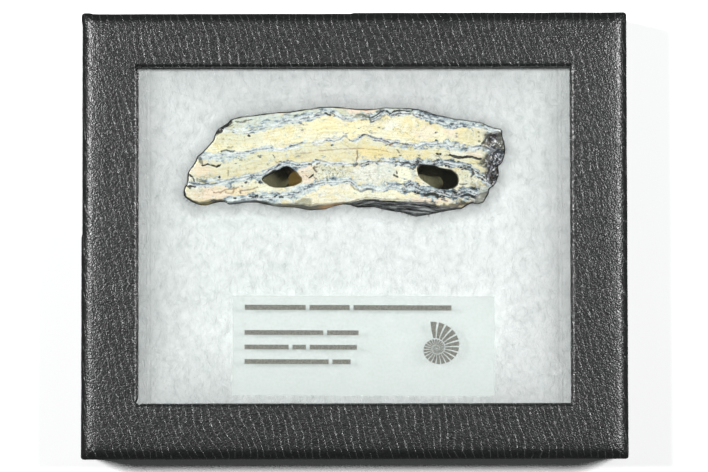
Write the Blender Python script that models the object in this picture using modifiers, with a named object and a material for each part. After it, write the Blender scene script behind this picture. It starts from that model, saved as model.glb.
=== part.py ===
"""A slice of fossil mammoth tooth in a shallow lidded specimen case.

The case lies face up with its underside on Z = 0. X runs along its length, Y across it, and the origin is
the centre of its underside. A tray holds a pad of fibre fill, the fill holds the slice against a glass pane,
and a lid with a window drops over the tray and is held by two pins. A film label lies on the glass.
"""

import math

import bmesh
import bpy
from mathutils import Vector, noise
from mathutils.geometry import intersect_point_line

MM = 0.001

# ---------------------------------------------------------------- driving dimensions
CASE_LENGTH = 139.7 * MM  # 5.5 in
CASE_WIDTH = 114.3 * MM  # 4.5 in
CASE_HEIGHT = 19.05 * MM  # 3/4 in
BOARD = 1.4 * MM  # chipboard with its covering paper
GAP = 0.3 * MM  # between pieces that touch

WINDOW_LENGTH = 111.0 * MM
WINDOW_WIDTH = 85.8 * MM
GLASS_THICKNESS = 2.0 * MM
LABEL_LENGTH = 66.7 * MM  # 2 5/8 in
LABEL_WIDTH = 25.4 * MM  # 1 in
LABEL_THICKNESS = 0.15 * MM
LABEL_CENTRE = (2.3 * MM, -28.2 * MM)
LABEL_TURN = math.radians(-0.3)

TOOTH_THICKNESS = 6.5 * MM
TOOTH_CENTRE = (-2.6 * MM, 18.9 * MM)

# ---------------------------------------------------------------- levels and clearances that follow
LID_RIM = 0.8 * MM  # the lid stops this far above the table
LID_SLIDE = 0.5 * MM  # play between lid and tray, each side
LID_EDGE_RADIUS = 2.2 * MM
WINDOW_EDGE_RADIUS = 1.2 * MM
CORNER_FLARE = 0.35 * MM  # the folded paper makes the lid's corners stand out by this
FLARE_START = 8.0 * MM  # along each side, from the corner
FLARE_MIDDLE = 3.0 * MM
CORNER_CUT = 0.9 * MM  # the blunt tip of each corner
NOTCH = (0.6 * MM, 0.25 * MM)  # open mitres in the paper at the window's left corners
NOTCH_MOUTH = (0.7 * MM, 1.2 * MM)
CLOSED_CUT = 0.5 * MM  # closed mitres at its right corners
GLASS_TOP = CASE_HEIGHT - BOARD - GAP
GLASS_BASE = GLASS_TOP - GLASS_THICKNESS
TRAY_TOP = GLASS_BASE - GAP
TOOTH_TOP = GLASS_BASE - GAP
TOOTH_BASE = TOOTH_TOP - TOOTH_THICKNESS
LID_INNER = (CASE_LENGTH / 2 - BOARD, CASE_WIDTH / 2 - BOARD)
TRAY_HALF = (LID_INNER[0] - LID_SLIDE, LID_INNER[1] - LID_SLIDE)
FILL_HALF = (TRAY_HALF[0] - BOARD - GAP, TRAY_HALF[1] - BOARD - GAP)
FILL_BASE = BOARD + GAP
FILL_TOP = GLASS_BASE - GAP
CUT_OVERRUN = 3.0 * MM  # cutters run past what they cut

# The fill sinks away from the glass at the tray's walls and around the slice.
FILL_CELL = 3.4 * MM
WALL_DIP, WALL_REACH = 4.0 * MM, 12.0 * MM
TOOTH_DIP, TOOTH_REACH = 2.4 * MM, 3.6 * MM

PIN_RADIUS = 0.35 * MM
PIN_HEAD_RADIUS = 1.0 * MM
PIN_HEAD_HEIGHT = 0.5 * MM
PIN_SHANK = 8.5 * MM
PIN_LEVEL = 6.5 * MM
PIN_DENT = 0.5 * MM  # the head is pressed this far into the lid's wall
PIN_SIDES = 16

# The slice's cut face, clockwise from its left tip, in mm from the slice's centre. The third number is how
# far the natural outside stands out below the cut face there, towards -Y.
TOOTH_OUTLINE = [
    # left end
    (-41.3, -7.9, 0.0), (-41.2, -6.9, 0.0), (-40.6, -5.7, 0.0), (-40.2, -4.7, 0.0), (-40.2, -3.1, 0.0),
    (-39.8, -1.9, 0.0), (-38.9, -0.9, 0.0), (-38.0, 0.6, 0.0), (-37.7, 1.6, 0.0), (-37.1, 2.1, 0.0),
    (-36.4, 2.6, 0.0), (-35.5, 3.6, 0.0), (-34.5, 4.7, 0.0), (-33.6, 5.7, 0.0), (-33.3, 6.9, 0.0),
    (-32.9, 7.9, 0.0), (-32.3, 8.6, 0.0), (-31.1, 9.4, 0.0), (-30.0, 10.1, 0.0), (-29.1, 11.0, 0.0),
    # upper side
    (-28.0, 11.4, 0.0), (-26.2, 11.8, 0.0), (-23.4, 12.1, 0.0), (-20.3, 12.5, 0.0), (-16.9, 12.9, 0.0),
    (-13.8, 13.0, 0.0), (-11.7, 13.4, 0.0), (-8.9, 13.8, 0.0), (-6.0, 14.2, 0.0), (-3.2, 14.3, 0.0),
    (-0.4, 14.1, 0.0), (3.0, 13.7, 0.0), (5.8, 13.6, 0.0), (8.4, 13.8, 0.0), (10.5, 14.1, 0.0),
    (13.3, 14.0, 0.0), (16.4, 13.9, 0.0), (19.0, 13.6, 0.0), (21.1, 13.1, 0.0), (22.9, 12.4, 0.0),
    (25.5, 11.8, 0.0), (28.1, 11.2, 0.0), (30.9, 10.9, 0.0), (33.5, 10.5, 0.0), (35.6, 10.1, 0.0),
    # right end, broken
    (36.9, 9.4, 0.0), (37.9, 9.0, 0.0), (40.2, 8.5, 0.0), (40.7, 7.9, 0.0), (40.5, 7.1, 0.0),
    (41.0, 5.7, 0.0), (41.4, 4.1, 0.0), (41.5, 2.6, 0.0), (41.2, 1.2, 0.0), (40.9, 0.3, 0.0),
    (40.4, -0.6, 0.0), (39.4, -1.3, 0.0), (39.8, -2.3, 0.0), (39.7, -3.7, 0.0), (39.1, -5.3, 0.0),
    (38.3, -6.5, 0.0), (37.2, -7.1, 0.0), (37.2, -8.3, 0.0), (36.5, -9.3, 0.0), (36.3, -9.8, 0.0),
    (35.6, -10.7, 0.0), (34.0, -11.1, 0.0), (32.7, -10.7, 0.1), (31.7, -11.2, 0.1), (30.3, -12.1, 0.1),
    # lower side, with the dark ledge of the tooth's outside
    (28.3, -12.1, 0.4), (26.3, -12.0, 0.8), (24.2, -11.8, 1.4), (22.6, -11.0, 2.6), (20.8, -10.5, 3.4),
    (18.5, -10.4, 3.9), (16.4, -10.3, 3.4), (14.4, -10.2, 2.9), (12.0, -10.1, 2.7), (9.7, -10.0, 2.3),
    (7.7, -9.6, 2.2), (5.6, -9.6, 2.2), (3.5, -10.1, 1.8), (1.7, -10.7, 0.6), (-0.1, -10.8, 0.3),
    (-2.4, -10.9, 0.6), (-4.8, -11.1, 1.2), (-6.8, -11.2, 1.2), (-8.6, -11.6, 1.0), (-10.7, -11.2, 1.0),
    (-13.0, -11.1, 0.7), (-15.6, -11.2, 0.5), (-18.2, -11.1, 0.4), (-20.0, -10.5, 0.6), (-22.3, -10.3, 0.3),
    (-25.4, -10.4, 0.2), (-28.0, -10.7, 0.3), (-29.6, -10.9, 0.2), (-30.3, -10.3, 0.2), (-31.6, -10.0, 0.4),
    (-33.7, -10.0, 0.8), (-35.3, -10.4, 0.9), (-37.1, -10.7, 0.5), (-38.9, -10.2, 0.3), (-40.3, -9.4, 0.2),
    (-41.1, -8.7, 0.1),
]
# Depth below the cut face, share of the ledge reached, and how far in mm the side stands out from the line
# above. It is less than nothing, because that line runs along the outer side of the slice's dark edge.
TOOTH_RINGS = [(0.0, 0.0, -0.45), (0.25, 0.08, -0.38), (2.2, 0.97, -0.3), (4.4, 1.0, -0.35), (6.5, 0.7, -0.8)]
TOOTH_BULGE = -0.3  # the largest of these, in mm

# The two pulp cavities as they open in the cut face, in mm from the slice's centre. Below the face the walls
# lean in: what lies beyond lean_from is drawn back towards it by lean.
CAVITIES = {
    "left_cavity": {
        "outline": [
            (-21.2, -4.3), (-20.3, -3.6), (-19.1, -2.9), (-17.8, -2.4), (-16.4, -1.9), (-15.6, -1.4),
            (-14.7, -1.1), (-13.7, -1.4), (-12.9, -2.1), (-12.0, -2.7), (-11.5, -3.5), (-10.7, -4.3),
            (-10.8, -5.2), (-11.6, -5.6), (-12.6, -6.1), (-13.9, -6.3), (-15.2, -6.6), (-16.6, -6.6),
            (-17.9, -6.6), (-19.1, -6.2), (-20.1, -5.5), (-20.9, -4.9),
        ],
        "lean_from": (-17.7, 99.0),
        "lean": (0.48, 1.0),
    },
    "right_cavity": {
        "outline": [
            (18.7, -2.3), (18.7, -1.4), (19.2, -0.7), (20.1, -0.7), (21.6, -0.9), (23.2, -1.0),
            (24.5, -1.6), (26.0, -1.9), (27.4, -2.1), (28.5, -2.8), (29.2, -3.7), (29.4, -4.9),
            (29.1, -6.0), (28.2, -6.8), (26.9, -7.1), (25.4, -7.1), (23.9, -7.0), (22.6, -6.5),
            (21.6, -5.8), (20.6, -5.2), (19.6, -4.4), (19.0, -3.6),
        ],
        "lean_from": (20.8, -4.9),
        "lean": (0.55, 0.5),
    },
}

# Where the edge of the cut face has broken away, in mm: centre, half-lengths in X and Y, depth.
CHIPS = {
    "upper_right_chip": ((39.0, 5.2), (2.6, 2.5), 1.1),
    "middle_right_chip": ((40.2, 0.6), (3.6, 2.6), 1.5),
    "lower_right_chip": ((39.6, -4.6), (2.8, 3.4), 1.5),
    "lower_corner_chip": ((36.6, -9.8), (3.4, 2.6), 1.0),
    "upper_left_chip": ((-30.4, 10.0), (2.2, 1.2), 0.9),
    "left_shoulder_chip": ((-32.9, 8.0), (1.4, 1.3), 0.8),
}
# Dark nodules on the broken end, in mm: centre, half-lengths in X and Y, depth of their tops below the face.
NODULES = {
    "upper_nodule": ((37.4, 0.7), (2.3, 1.6), 0.25),
    "lower_nodule": ((37.5, -3.1), (2.2, 2.1), 0.15),
    "corner_nodule": ((34.2, -9.9), (1.8, 0.8), 0.4),
}
NODULE_HALF_HEIGHT = 1.1  # in mm
ROCK_ROUGHNESS = 0.25  # how far a nodule's or chip's surface wanders, as a share of its size
ROCK_GRAIN = 1.7  # noise features across half a lump

# A drying crack along the right half, in mm from the slice's centre.
CRACK = [(26.6, 1.6), (28.3, 1.4), (29.4, 1.1), (30.7, 1.1), (32.5, 1.2), (33.8, 0.9), (35.1, 0.6)]
CRACK_HALF_WIDTH, CRACK_DEPTH = 0.17, 1.0


# ---------------------------------------------------------------- helpers
def clear_scene():
    for existing in list(bpy.data.objects):
        bpy.data.objects.remove(existing)


def new_collection(name):
    collection = bpy.data.collections.new(name)
    bpy.context.scene.collection.children.link(collection)
    return collection


def finish(name, colour, roughness, metallic=0.0):
    """A Principled material of one colour."""
    material = bpy.data.materials.new(name)
    material.use_nodes = True
    shader = material.node_tree.nodes["Principled BSDF"]
    shader.inputs["Base Color"].default_value = (*colour, 1.0)
    shader.inputs["Roughness"].default_value = roughness
    shader.inputs["Metallic"].default_value = metallic
    return material


def new_object(name, mesh, collection, material=None):
    placed = bpy.data.objects.new(name, mesh)
    collection.objects.link(placed)
    if material:
        mesh.materials.append(material)
    return placed


def mesh_from(bm, name):
    mesh = bpy.data.meshes.new(name)
    bmesh.ops.recalc_face_normals(bm, faces=bm.faces)
    bm.to_mesh(mesh)
    bm.free()
    return mesh


def loft(name, rings):
    """A closed mesh through rings of equally many points, the first and last ring capped flat."""
    bm = bmesh.new()
    made = [[bm.verts.new(point) for point in ring] for ring in rings]
    count = len(rings[0])
    for upper, lower in zip(made, made[1:]):
        for i in range(count):
            j = (i + 1) % count
            bm.faces.new((upper[i], upper[j], lower[j], lower[i]))
    bm.faces.new(made[0])
    bm.faces.new(made[-1])
    return mesh_from(bm, name)


def block(name, half_length, half_width, low, high):
    """A box centred on the case, from one level to another."""
    bm = bmesh.new()
    bmesh.ops.create_cube(bm, size=1.0)
    bmesh.ops.scale(bm, vec=(2 * half_length, 2 * half_width, high - low), verts=bm.verts)
    bmesh.ops.translate(bm, vec=(0.0, 0.0, (high + low) / 2), verts=bm.verts)
    return mesh_from(bm, name)


def new_tool(name, mesh, collection):
    """A hidden object that a Boolean uses."""
    tool = new_object(name, mesh, collection)
    tool.hide_render = True
    tool.display_type = "WIRE"
    return tool


def combine(target, tool, operation="DIFFERENCE"):
    """Cuts the tool away from target, or joins it on."""
    modifier = target.modifiers.new(tool.name, "BOOLEAN")
    modifier.operation = operation
    modifier.solver = "EXACT"
    modifier.object = tool


def shade_round(piece):
    """Smooth shading, with edges sharper than 30 degrees kept crisp."""
    for polygon in piece.data.polygons:
        polygon.use_smooth = True
    piece.data.set_sharp_from_angle(angle=math.radians(30))


def soften(piece, width, segments=2):
    """Rounds the piece's sharp edges."""
    bevel = piece.modifiers.new("rounded_edges", "BEVEL")
    bevel.width = width
    bevel.segments = segments
    bevel.limit_method = "ANGLE"
    bevel.angle_limit = math.radians(40)


def offset_outline(points, distance):
    """The outline moved outwards by distance. It runs clockwise, so outwards is to its left."""
    moved = []
    for i, (x, y) in enumerate(points):
        before, after = Vector(points[i - 1]), Vector(points[(i + 1) % len(points)])
        along = (after - before).normalized()
        moved.append((x - along.y * distance, y + along.x * distance))
    return moved


def offset_line(points, distance):
    """An open line's points moved across it, much less at its two ends."""
    last = len(points) - 1
    moved = []
    for i, (x, y) in enumerate(points):
        share = 0.25 if i in (0, last) else 1.0
        before, after = Vector(points[max(i - 1, 0)]), Vector(points[min(i + 1, last)])
        along = (after - before).normalized()
        moved.append((x - along.y * distance * share, y + along.x * distance * share))
    return moved


def at_level(points_mm, level):
    return [(x * MM, y * MM, level) for x, y in points_mm]


# ---------------------------------------------------------------- the case
def lid_ring(inset, level):
    """The lid's outline: sides a little drawn in, corners flared where the paper is folded."""
    half_length, half_width = CASE_LENGTH / 2 - inset, CASE_WIDTH / 2 - inset
    quarter = [
        (half_length - CORNER_FLARE, half_width - FLARE_START),
        (half_length - 0.6 * CORNER_FLARE, half_width - FLARE_MIDDLE),
        (half_length, half_width - CORNER_CUT),
        (half_length - CORNER_CUT, half_width),
        (half_length - FLARE_MIDDLE, half_width - 0.6 * CORNER_FLARE),
        (half_length - FLARE_START, half_width - CORNER_FLARE),
    ]
    mirrored = [(-x, y) for x, y in reversed(quarter)]
    half = quarter + mirrored
    return [(x, y, level) for x, y in half + [(-x, -y) for x, y in half]]


def window_ring(outset, level):
    """The window's outline: the paper's mitres stand open at the left corners and close at the right ones."""
    length, width = WINDOW_LENGTH / 2 + outset, WINDOW_WIDTH / 2 + outset
    upper = [
        (length, width - CLOSED_CUT),
        (length - CLOSED_CUT, width),
        (-length + NOTCH_MOUTH[0], width),
        (-length - NOTCH[0], width + NOTCH[1]),
        (-length, width - NOTCH_MOUTH[1]),
    ]
    lower = [(x, -y) for x, y in reversed(upper)]
    return [(x, y, level) for x, y in upper + lower]


def rounding(radius, steps):
    """Steps over a quarter-round edge: distance in from the side, and drop from the top."""
    for i in range(steps + 1):
        turn = math.pi / 2 * i / steps
        yield radius * (1 - math.sin(turn)), radius * (1 - math.cos(turn))


def make_lid(parts, cutters, paper):
    rings = [lid_ring(inset, CASE_HEIGHT - drop) for inset, drop in rounding(LID_EDGE_RADIUS, 4)]
    rings.append(lid_ring(0.0, LID_RIM))
    lid = new_object("lid", loft("lid", rings), parts, paper)
    shade_round(lid)
    inside = block("lid_inside", *LID_INNER, LID_RIM - CUT_OVERRUN, CASE_HEIGHT - BOARD)
    combine(lid, new_tool("lid_inside", inside, cutters))
    opening = [window_ring(WINDOW_EDGE_RADIUS, CASE_HEIGHT + CUT_OVERRUN)]
    edge = rounding(WINDOW_EDGE_RADIUS, 3)
    opening += [window_ring(outset, CASE_HEIGHT - drop) for outset, drop in edge]
    opening.append(window_ring(0.0, GLASS_TOP - CUT_OVERRUN))
    combine(lid, new_tool("window_opening", loft("window_opening", opening), cutters))
    return lid


def make_tray(parts, paper):
    """An open box of board: a cube without its top, thickened inwards."""
    mesh = block("tray", *TRAY_HALF, 0.0, TRAY_TOP)
    bm = bmesh.new()
    bm.from_mesh(mesh)
    top = [face for face in bm.faces if face.normal.z > 0.5]
    bmesh.ops.delete(bm, geom=top, context="FACES_ONLY")
    bm.to_mesh(mesh)
    bm.free()
    tray = new_object("tray", mesh, parts, paper)
    walls = tray.modifiers.new("board", "SOLIDIFY")
    walls.thickness = BOARD
    walls.offset = -1.0
    walls.use_even_offset = True
    soften(tray, 0.3 * MM)
    return tray


def make_glass(parts, glass):
    mesh = block("glass_pane", LID_INNER[0] - GAP, LID_INNER[1] - GAP, GLASS_BASE, GLASS_TOP)
    pane = new_object("glass_pane", mesh, parts, glass)
    soften(pane, 0.2 * MM, segments=1)
    return pane


def make_label(parts, film):
    mesh = block("label", LABEL_LENGTH / 2, LABEL_WIDTH / 2, 0.0, LABEL_THICKNESS)
    label = new_object("label", mesh, parts, film)
    label.location = (*LABEL_CENTRE, GLASS_TOP + GAP)
    label.rotation_euler.z = LABEL_TURN
    return label


def turned_rings(profile, sides):
    """Rings round the Z axis through a profile of (radius, level) points."""
    turns = [2 * math.pi * i / sides for i in range(sides)]
    return [[(radius * math.cos(t), radius * math.sin(t), level) for t in turns] for radius, level in profile]


def make_pin(name, side, parts, cutters, steel, pierced):
    """A dome-headed pin driven in from one end of the case, and the hole it makes in each pierced piece."""
    wall = CASE_LENGTH / 2 - CORNER_FLARE
    seat = wall - PIN_DENT + GAP
    place, turn = (side * seat, 0.0, PIN_LEVEL), (0.0, side * math.pi / 2, 0.0)
    profile = [
        (0.5 * PIN_HEAD_RADIUS, PIN_HEAD_HEIGHT),
        (0.85 * PIN_HEAD_RADIUS, 0.75 * PIN_HEAD_HEIGHT),
        (PIN_HEAD_RADIUS, 0.3 * PIN_HEAD_HEIGHT),
        (PIN_HEAD_RADIUS, 0.0),
        (PIN_RADIUS, 0.0),
        (PIN_RADIUS, -PIN_SHANK + 4 * PIN_RADIUS),
        (0.1 * PIN_RADIUS, -PIN_SHANK),
    ]
    pin = new_object(name, loft(name, turned_rings(profile, PIN_SIDES)), parts, steel)
    pin.location, pin.rotation_euler = place, turn
    shade_round(pin)

    hole_profile = [
        (PIN_HEAD_RADIUS + GAP, CUT_OVERRUN),
        (PIN_HEAD_RADIUS + GAP, -GAP),
        (PIN_RADIUS + GAP, -GAP),
        (PIN_RADIUS + GAP, -PIN_SHANK - GAP),
    ]
    hole_name = name + "_hole"
    hole = new_tool(hole_name, loft(hole_name, turned_rings(hole_profile, PIN_SIDES)), cutters)
    hole.location, hole.rotation_euler = place, turn
    for piece in pierced:
        combine(piece, hole)
    return pin


# ---------------------------------------------------------------- the slice
def tooth_ring_points(ledge_share, bulge):
    """The slice's outline in mm, with the ledge and the bulge of its natural outside."""
    drawn = [(x, y - ledge * ledge_share) for x, y, ledge in TOOTH_OUTLINE]
    return offset_outline(drawn, bulge)


def leaned(point, lean_from, lean):
    """Draws a point of a cavity's outline back towards lean_from, where it lies beyond it."""
    x, y = point
    if x > lean_from[0]:
        x = lean_from[0] + (x - lean_from[0]) * lean[0]
    if y > lean_from[1]:
        y = lean_from[1] + (y - lean_from[1]) * lean[1]
    return x, y


def make_cavity(name, cavity, cutters):
    """A cutter that opens at the cut face and narrows downwards."""
    mouth = cavity["outline"]
    foot = [leaned(point, cavity["lean_from"], cavity["lean"]) for point in mouth]
    rings = [
        at_level(mouth, CUT_OVERRUN),
        at_level(mouth, -0.5 * MM),
        at_level(foot, -TOOTH_THICKNESS + 0.8 * MM),
        at_level(foot, -TOOTH_THICKNESS - CUT_OVERRUN),
    ]
    return new_tool(name, loft(name, rings), cutters)


def make_rock(name, centre, half_lengths, half_height, level, cutters, detail):
    """A rough lump: a sphere stretched to half_lengths and pushed about by noise."""
    own_place = Vector((*centre, 0.0))  # no two lumps share a stretch of noise
    bm = bmesh.new()
    bmesh.ops.create_icosphere(bm, subdivisions=detail, radius=1.0)
    for vert in bm.verts:
        vert.co *= 1.0 + ROCK_ROUGHNESS * noise.noise(vert.co * ROCK_GRAIN + own_place)
        vert.co *= Vector((*half_lengths, half_height)) * MM
    rock = new_tool(name, mesh_from(bm, name), cutters)
    rock.location = (centre[0] * MM, centre[1] * MM, level * MM)
    return rock


def make_crack(cutters):
    """A thin blade that cuts the drying crack."""
    above = offset_line(CRACK, CRACK_HALF_WIDTH)
    below = offset_line(CRACK, -CRACK_HALF_WIDTH)
    section = above + list(reversed(below))
    rings = [at_level(section, CUT_OVERRUN), at_level(section, -CRACK_DEPTH * MM)]
    return new_tool("crack", loft("crack", rings), cutters)


def make_tooth(parts, cutters, fossil):
    rings = [at_level(tooth_ring_points(ledge, bulge), -depth * MM) for depth, ledge, bulge in TOOTH_RINGS]
    tooth = new_object("tooth_slice", loft("tooth_slice", rings), parts, fossil)
    shade_round(tooth)
    tools = [(make_cavity(name, cavity, cutters), "DIFFERENCE") for name, cavity in CAVITIES.items()]
    for name, (centre, half_lengths, depth) in CHIPS.items():
        chip = make_rock(name, centre, half_lengths, depth, 0.0, cutters, detail=2)
        tools.append((chip, "DIFFERENCE"))
    for name, (centre, half_lengths, below) in NODULES.items():
        level = -below - NODULE_HALF_HEIGHT
        nodule = make_rock(name, centre, half_lengths, NODULE_HALF_HEIGHT, level, cutters, detail=3)
        tools.append((nodule, "UNION"))
    tools.append((make_crack(cutters), "DIFFERENCE"))
    place = Vector((*TOOTH_CENTRE, TOOTH_TOP))
    tooth.location = place
    for tool, operation in tools:
        tool.location += place
        combine(tooth, tool, operation)
    return tooth


# ---------------------------------------------------------------- the fibre fill
def distance_outside(here, outline):
    """How far a point lies outside a closed outline. Zero inside it."""
    nearest, inside = math.inf, False
    for one, two in zip(outline, outline[1:] + outline[:1]):
        foot, share = intersect_point_line(here, one, two)
        if share < 0.0:
            foot = one
        elif share > 1.0:
            foot = two
        nearest = min(nearest, (here - foot).length)
        if (one.y > here.y) != (two.y > here.y):
            crossing = one.x + (here.y - one.y) / (two.y - one.y) * (two.x - one.x)
            inside ^= here.x < crossing
    return 0.0 if inside else nearest


def fill_level(x, y, slice_outline):
    """The fill's surface: against the glass, but sunk along the walls and around the slice."""
    to_wall = min(FILL_HALF[0] - abs(x), FILL_HALF[1] - abs(y))
    to_slice = distance_outside(Vector((x, y, 0.0)), slice_outline)
    sunk = WALL_DIP * math.exp(-((to_wall / WALL_REACH) ** 2))
    sunk += TOOTH_DIP * math.exp(-((to_slice / TOOTH_REACH) ** 2))
    return FILL_TOP - sunk


def make_fill(parts, cutters, fibre):
    """A pad whose top follows fill_level, with a pocket pressed into it by the slice."""
    centre = Vector((*TOOTH_CENTRE, 0.0))
    slice_outline = [centre + Vector(point) for point in at_level(tooth_ring_points(1.0, 0.0), 0.0)]
    cells = [math.ceil(2 * half / FILL_CELL) for half in FILL_HALF]
    bm = bmesh.new()
    bmesh.ops.create_grid(bm, x_segments=cells[0], y_segments=cells[1], size=1.0)
    bmesh.ops.scale(bm, vec=(*FILL_HALF, 1.0), verts=bm.verts)
    for vert in bm.verts:
        vert.co.z = fill_level(vert.co.x, vert.co.y, slice_outline)
    rim = [edge for edge in bm.edges if edge.is_boundary]
    skirt = bmesh.ops.extrude_edge_only(bm, edges=rim)["geom"]
    for item in skirt:
        if isinstance(item, bmesh.types.BMVert):
            item.co.z = FILL_BASE
    bmesh.ops.edgeloop_fill(bm, edges=[edge for edge in bm.edges if edge.is_boundary])
    fill = new_object("fibre_fill", mesh_from(bm, "fibre_fill"), parts, fibre)
    shade_round(fill)

    pressed = tooth_ring_points(1.0, TOOTH_BULGE + GAP / MM)
    rings = [at_level(pressed, CUT_OVERRUN), at_level(pressed, -TOOTH_THICKNESS - GAP)]
    pocket = new_tool("tooth_pocket", loft("tooth_pocket", rings), cutters)
    pocket.location = (*TOOTH_CENTRE, TOOTH_TOP)
    combine(fill, pocket)
    return fill


def main():
    clear_scene()
    parts = new_collection("mammoth_tooth_slice_in_case")
    cutters = new_collection("cutters")
    leatherette = finish("black_leatherette_paper", (0.022, 0.022, 0.023), 0.45)
    lining = finish("black_paper", (0.02, 0.02, 0.02), 0.7)
    glass = finish("clear_glass", (0.92, 0.96, 0.95), 0.05)
    film = finish("frosted_label_film", (0.82, 0.84, 0.83), 0.55)
    fossil = finish("polished_fossil_tooth", (0.88, 0.76, 0.5), 0.3)
    fibre = finish("white_polyester_fill", (0.8, 0.82, 0.82), 0.95)
    steel = finish("steel_pin", (0.55, 0.55, 0.56), 0.3, metallic=1.0)

    lid = make_lid(parts, cutters, leatherette)
    tray = make_tray(parts, lining)
    make_glass(parts, glass)
    make_label(parts, film)
    make_tooth(parts, cutters, fossil)
    fill = make_fill(parts, cutters, fibre)
    for name, side in (("pin_left", -1), ("pin_right", 1)):
        make_pin(name, side, parts, cutters, steel, pierced=(lid, tray, fill))


main()
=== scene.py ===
# %% [markdown]
# # A slice of fossil mammoth tooth in its display case
#
# The object is a shallow black case with a window in its lid. A pad of white fibre fill holds a cut and
# polished slice of mammoth tooth up to the glass, and a film label lies on the glass below it. The CAD
# model gives the size and place of every piece, and this lesson gives each one its real surface. All lengths
# are in metres, so MM turns a size in millimetres into Blender's unit. X runs along the case, Y across it
# towards the slice and Z out of the window.

# %% Load the CAD frame
import math

import bmesh
import bpy
import numpy as np
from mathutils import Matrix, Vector, noise
from mathutils.bvhtree import BVHTree


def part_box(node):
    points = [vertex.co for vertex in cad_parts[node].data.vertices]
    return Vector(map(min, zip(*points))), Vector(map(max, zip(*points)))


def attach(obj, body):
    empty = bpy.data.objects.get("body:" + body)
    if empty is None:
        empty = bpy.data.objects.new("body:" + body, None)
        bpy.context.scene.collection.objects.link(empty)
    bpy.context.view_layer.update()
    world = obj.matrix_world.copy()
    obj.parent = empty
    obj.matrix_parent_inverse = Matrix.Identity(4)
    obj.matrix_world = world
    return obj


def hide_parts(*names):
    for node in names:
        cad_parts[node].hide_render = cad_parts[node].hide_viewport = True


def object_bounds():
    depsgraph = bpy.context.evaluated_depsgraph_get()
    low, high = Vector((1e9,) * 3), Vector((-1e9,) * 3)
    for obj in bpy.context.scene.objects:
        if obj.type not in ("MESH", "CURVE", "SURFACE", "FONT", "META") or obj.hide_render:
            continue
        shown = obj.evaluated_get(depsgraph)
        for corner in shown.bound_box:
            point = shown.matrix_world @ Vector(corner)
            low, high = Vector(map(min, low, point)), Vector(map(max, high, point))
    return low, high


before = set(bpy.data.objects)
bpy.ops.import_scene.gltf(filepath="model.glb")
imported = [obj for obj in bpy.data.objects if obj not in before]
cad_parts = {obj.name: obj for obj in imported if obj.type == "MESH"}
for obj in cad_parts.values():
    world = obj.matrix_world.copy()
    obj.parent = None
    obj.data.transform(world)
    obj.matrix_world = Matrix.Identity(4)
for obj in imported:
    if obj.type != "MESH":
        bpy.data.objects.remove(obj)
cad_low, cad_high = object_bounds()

MM = 0.001
print("CAD box in mm:", [round(side / MM, 1) for side in cad_high - cad_low])

# %% [markdown]
# ## Small helpers
#
# Colours are written as sRGB hex, as a colour picker shows them, and one function turns them into the linear
# light that Blender mixes. A second function adds a shader node, sets it up and links it, so that each
# material below reads as a list of its layers. Textures are laid out in millimetres: a noise of scale 0.5
# has features about 2 mm wide. The rest makes pieces, carries maps on their points, and gives the soft steps
# and the smooth noise that every uneven surface here is made of.


# %% Colours and nodes
def srgb(text):
    """An sRGB hex colour as linear red, green, blue and alpha."""
    channels = [int(text[i : i + 2], 16) / 255 for i in (1, 3, 5)]
    linear = [c / 12.92 if c <= 0.04045 else ((c + 0.055) / 1.055) ** 2.4 for c in channels]
    return (*linear, 1.0)


def socket(sockets, key):
    """A node's socket by its number, or the one in use that has this name."""
    if isinstance(key, int):
        return sockets[key]
    return next(s for s in sockets if s.enabled and s.name == key)


def output_of(source):
    """The first output in use where the source is a node. Anything else is given back as it is."""
    if isinstance(source, bpy.types.Node):
        return next(s for s in source.outputs if s.enabled)
    return source


def add(tree, kind, inputs=None, stops=None, **settings):
    """Adds a shader node, with its settings, and links or sets its inputs. Stops are a Color Ramp's."""
    made = tree.nodes.new("ShaderNode" + kind)
    for name, value in settings.items():
        setattr(made, name, value)
    for key, value in (inputs or {}).items():
        target = socket(made.inputs, key)
        value = output_of(value)
        if isinstance(value, bpy.types.NodeSocket):
            tree.links.new(value, target)
        else:
            target.default_value = value
    if stops:
        elements = made.color_ramp.elements
        while len(elements) < len(stops):
            elements.new(1.0)
        for element, (position, colour) in zip(elements, stops):
            element.position = position
            element.color = srgb(colour) if isinstance(colour, str) else (colour, colour, colour, 1.0)
    return made


print("the grey #808080 gives back", round(srgb("#808080")[0], 2), "of the light")


# %% Materials
def new_material(name, **constants):
    """A Principled material, its node tree and its shader. Constants are the shader's fixed inputs."""
    material = bpy.data.materials.new(name)
    material.use_nodes = True
    shader = material.node_tree.nodes["Principled BSDF"]
    for key, value in constants.items():
        shader.inputs[key.replace("_", " ")].default_value = value
    return material, material.node_tree, shader


def lay(shader, **layers):
    """Links the last node of each layer to the shader's input of that name."""
    for key, layer in layers.items():
        shader.id_data.links.new(output_of(layer), shader.inputs[key.replace("_", " ")])


def millimetres(tree, centre=(0.0, 0.0, 0.0)):
    """The surface's own coordinates in millimetres from a centre, also in millimetres."""
    place = add(tree, "TexCoord").outputs["Object"]
    scaled = add(tree, "VectorMath", {0: place, "Scale": 1 / MM}, operation="SCALE")
    return add(tree, "VectorMath", {0: scaled, 1: centre}, operation="SUBTRACT")


def dress(mesh, material):
    """Gives the whole mesh this one material."""
    mesh.materials.clear()
    mesh.materials.append(material)


print("texture units in a metre:", 1 / MM)


# %% Pieces and the maps they carry
def new_piece(name, mesh, material):
    """Puts a mesh in the scene as a piece of the object, which rides on its one body."""
    piece = bpy.data.objects.new(name, mesh)
    bpy.context.scene.collection.objects.link(piece)
    dress(mesh, material)
    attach(piece, "root")
    return piece


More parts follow.
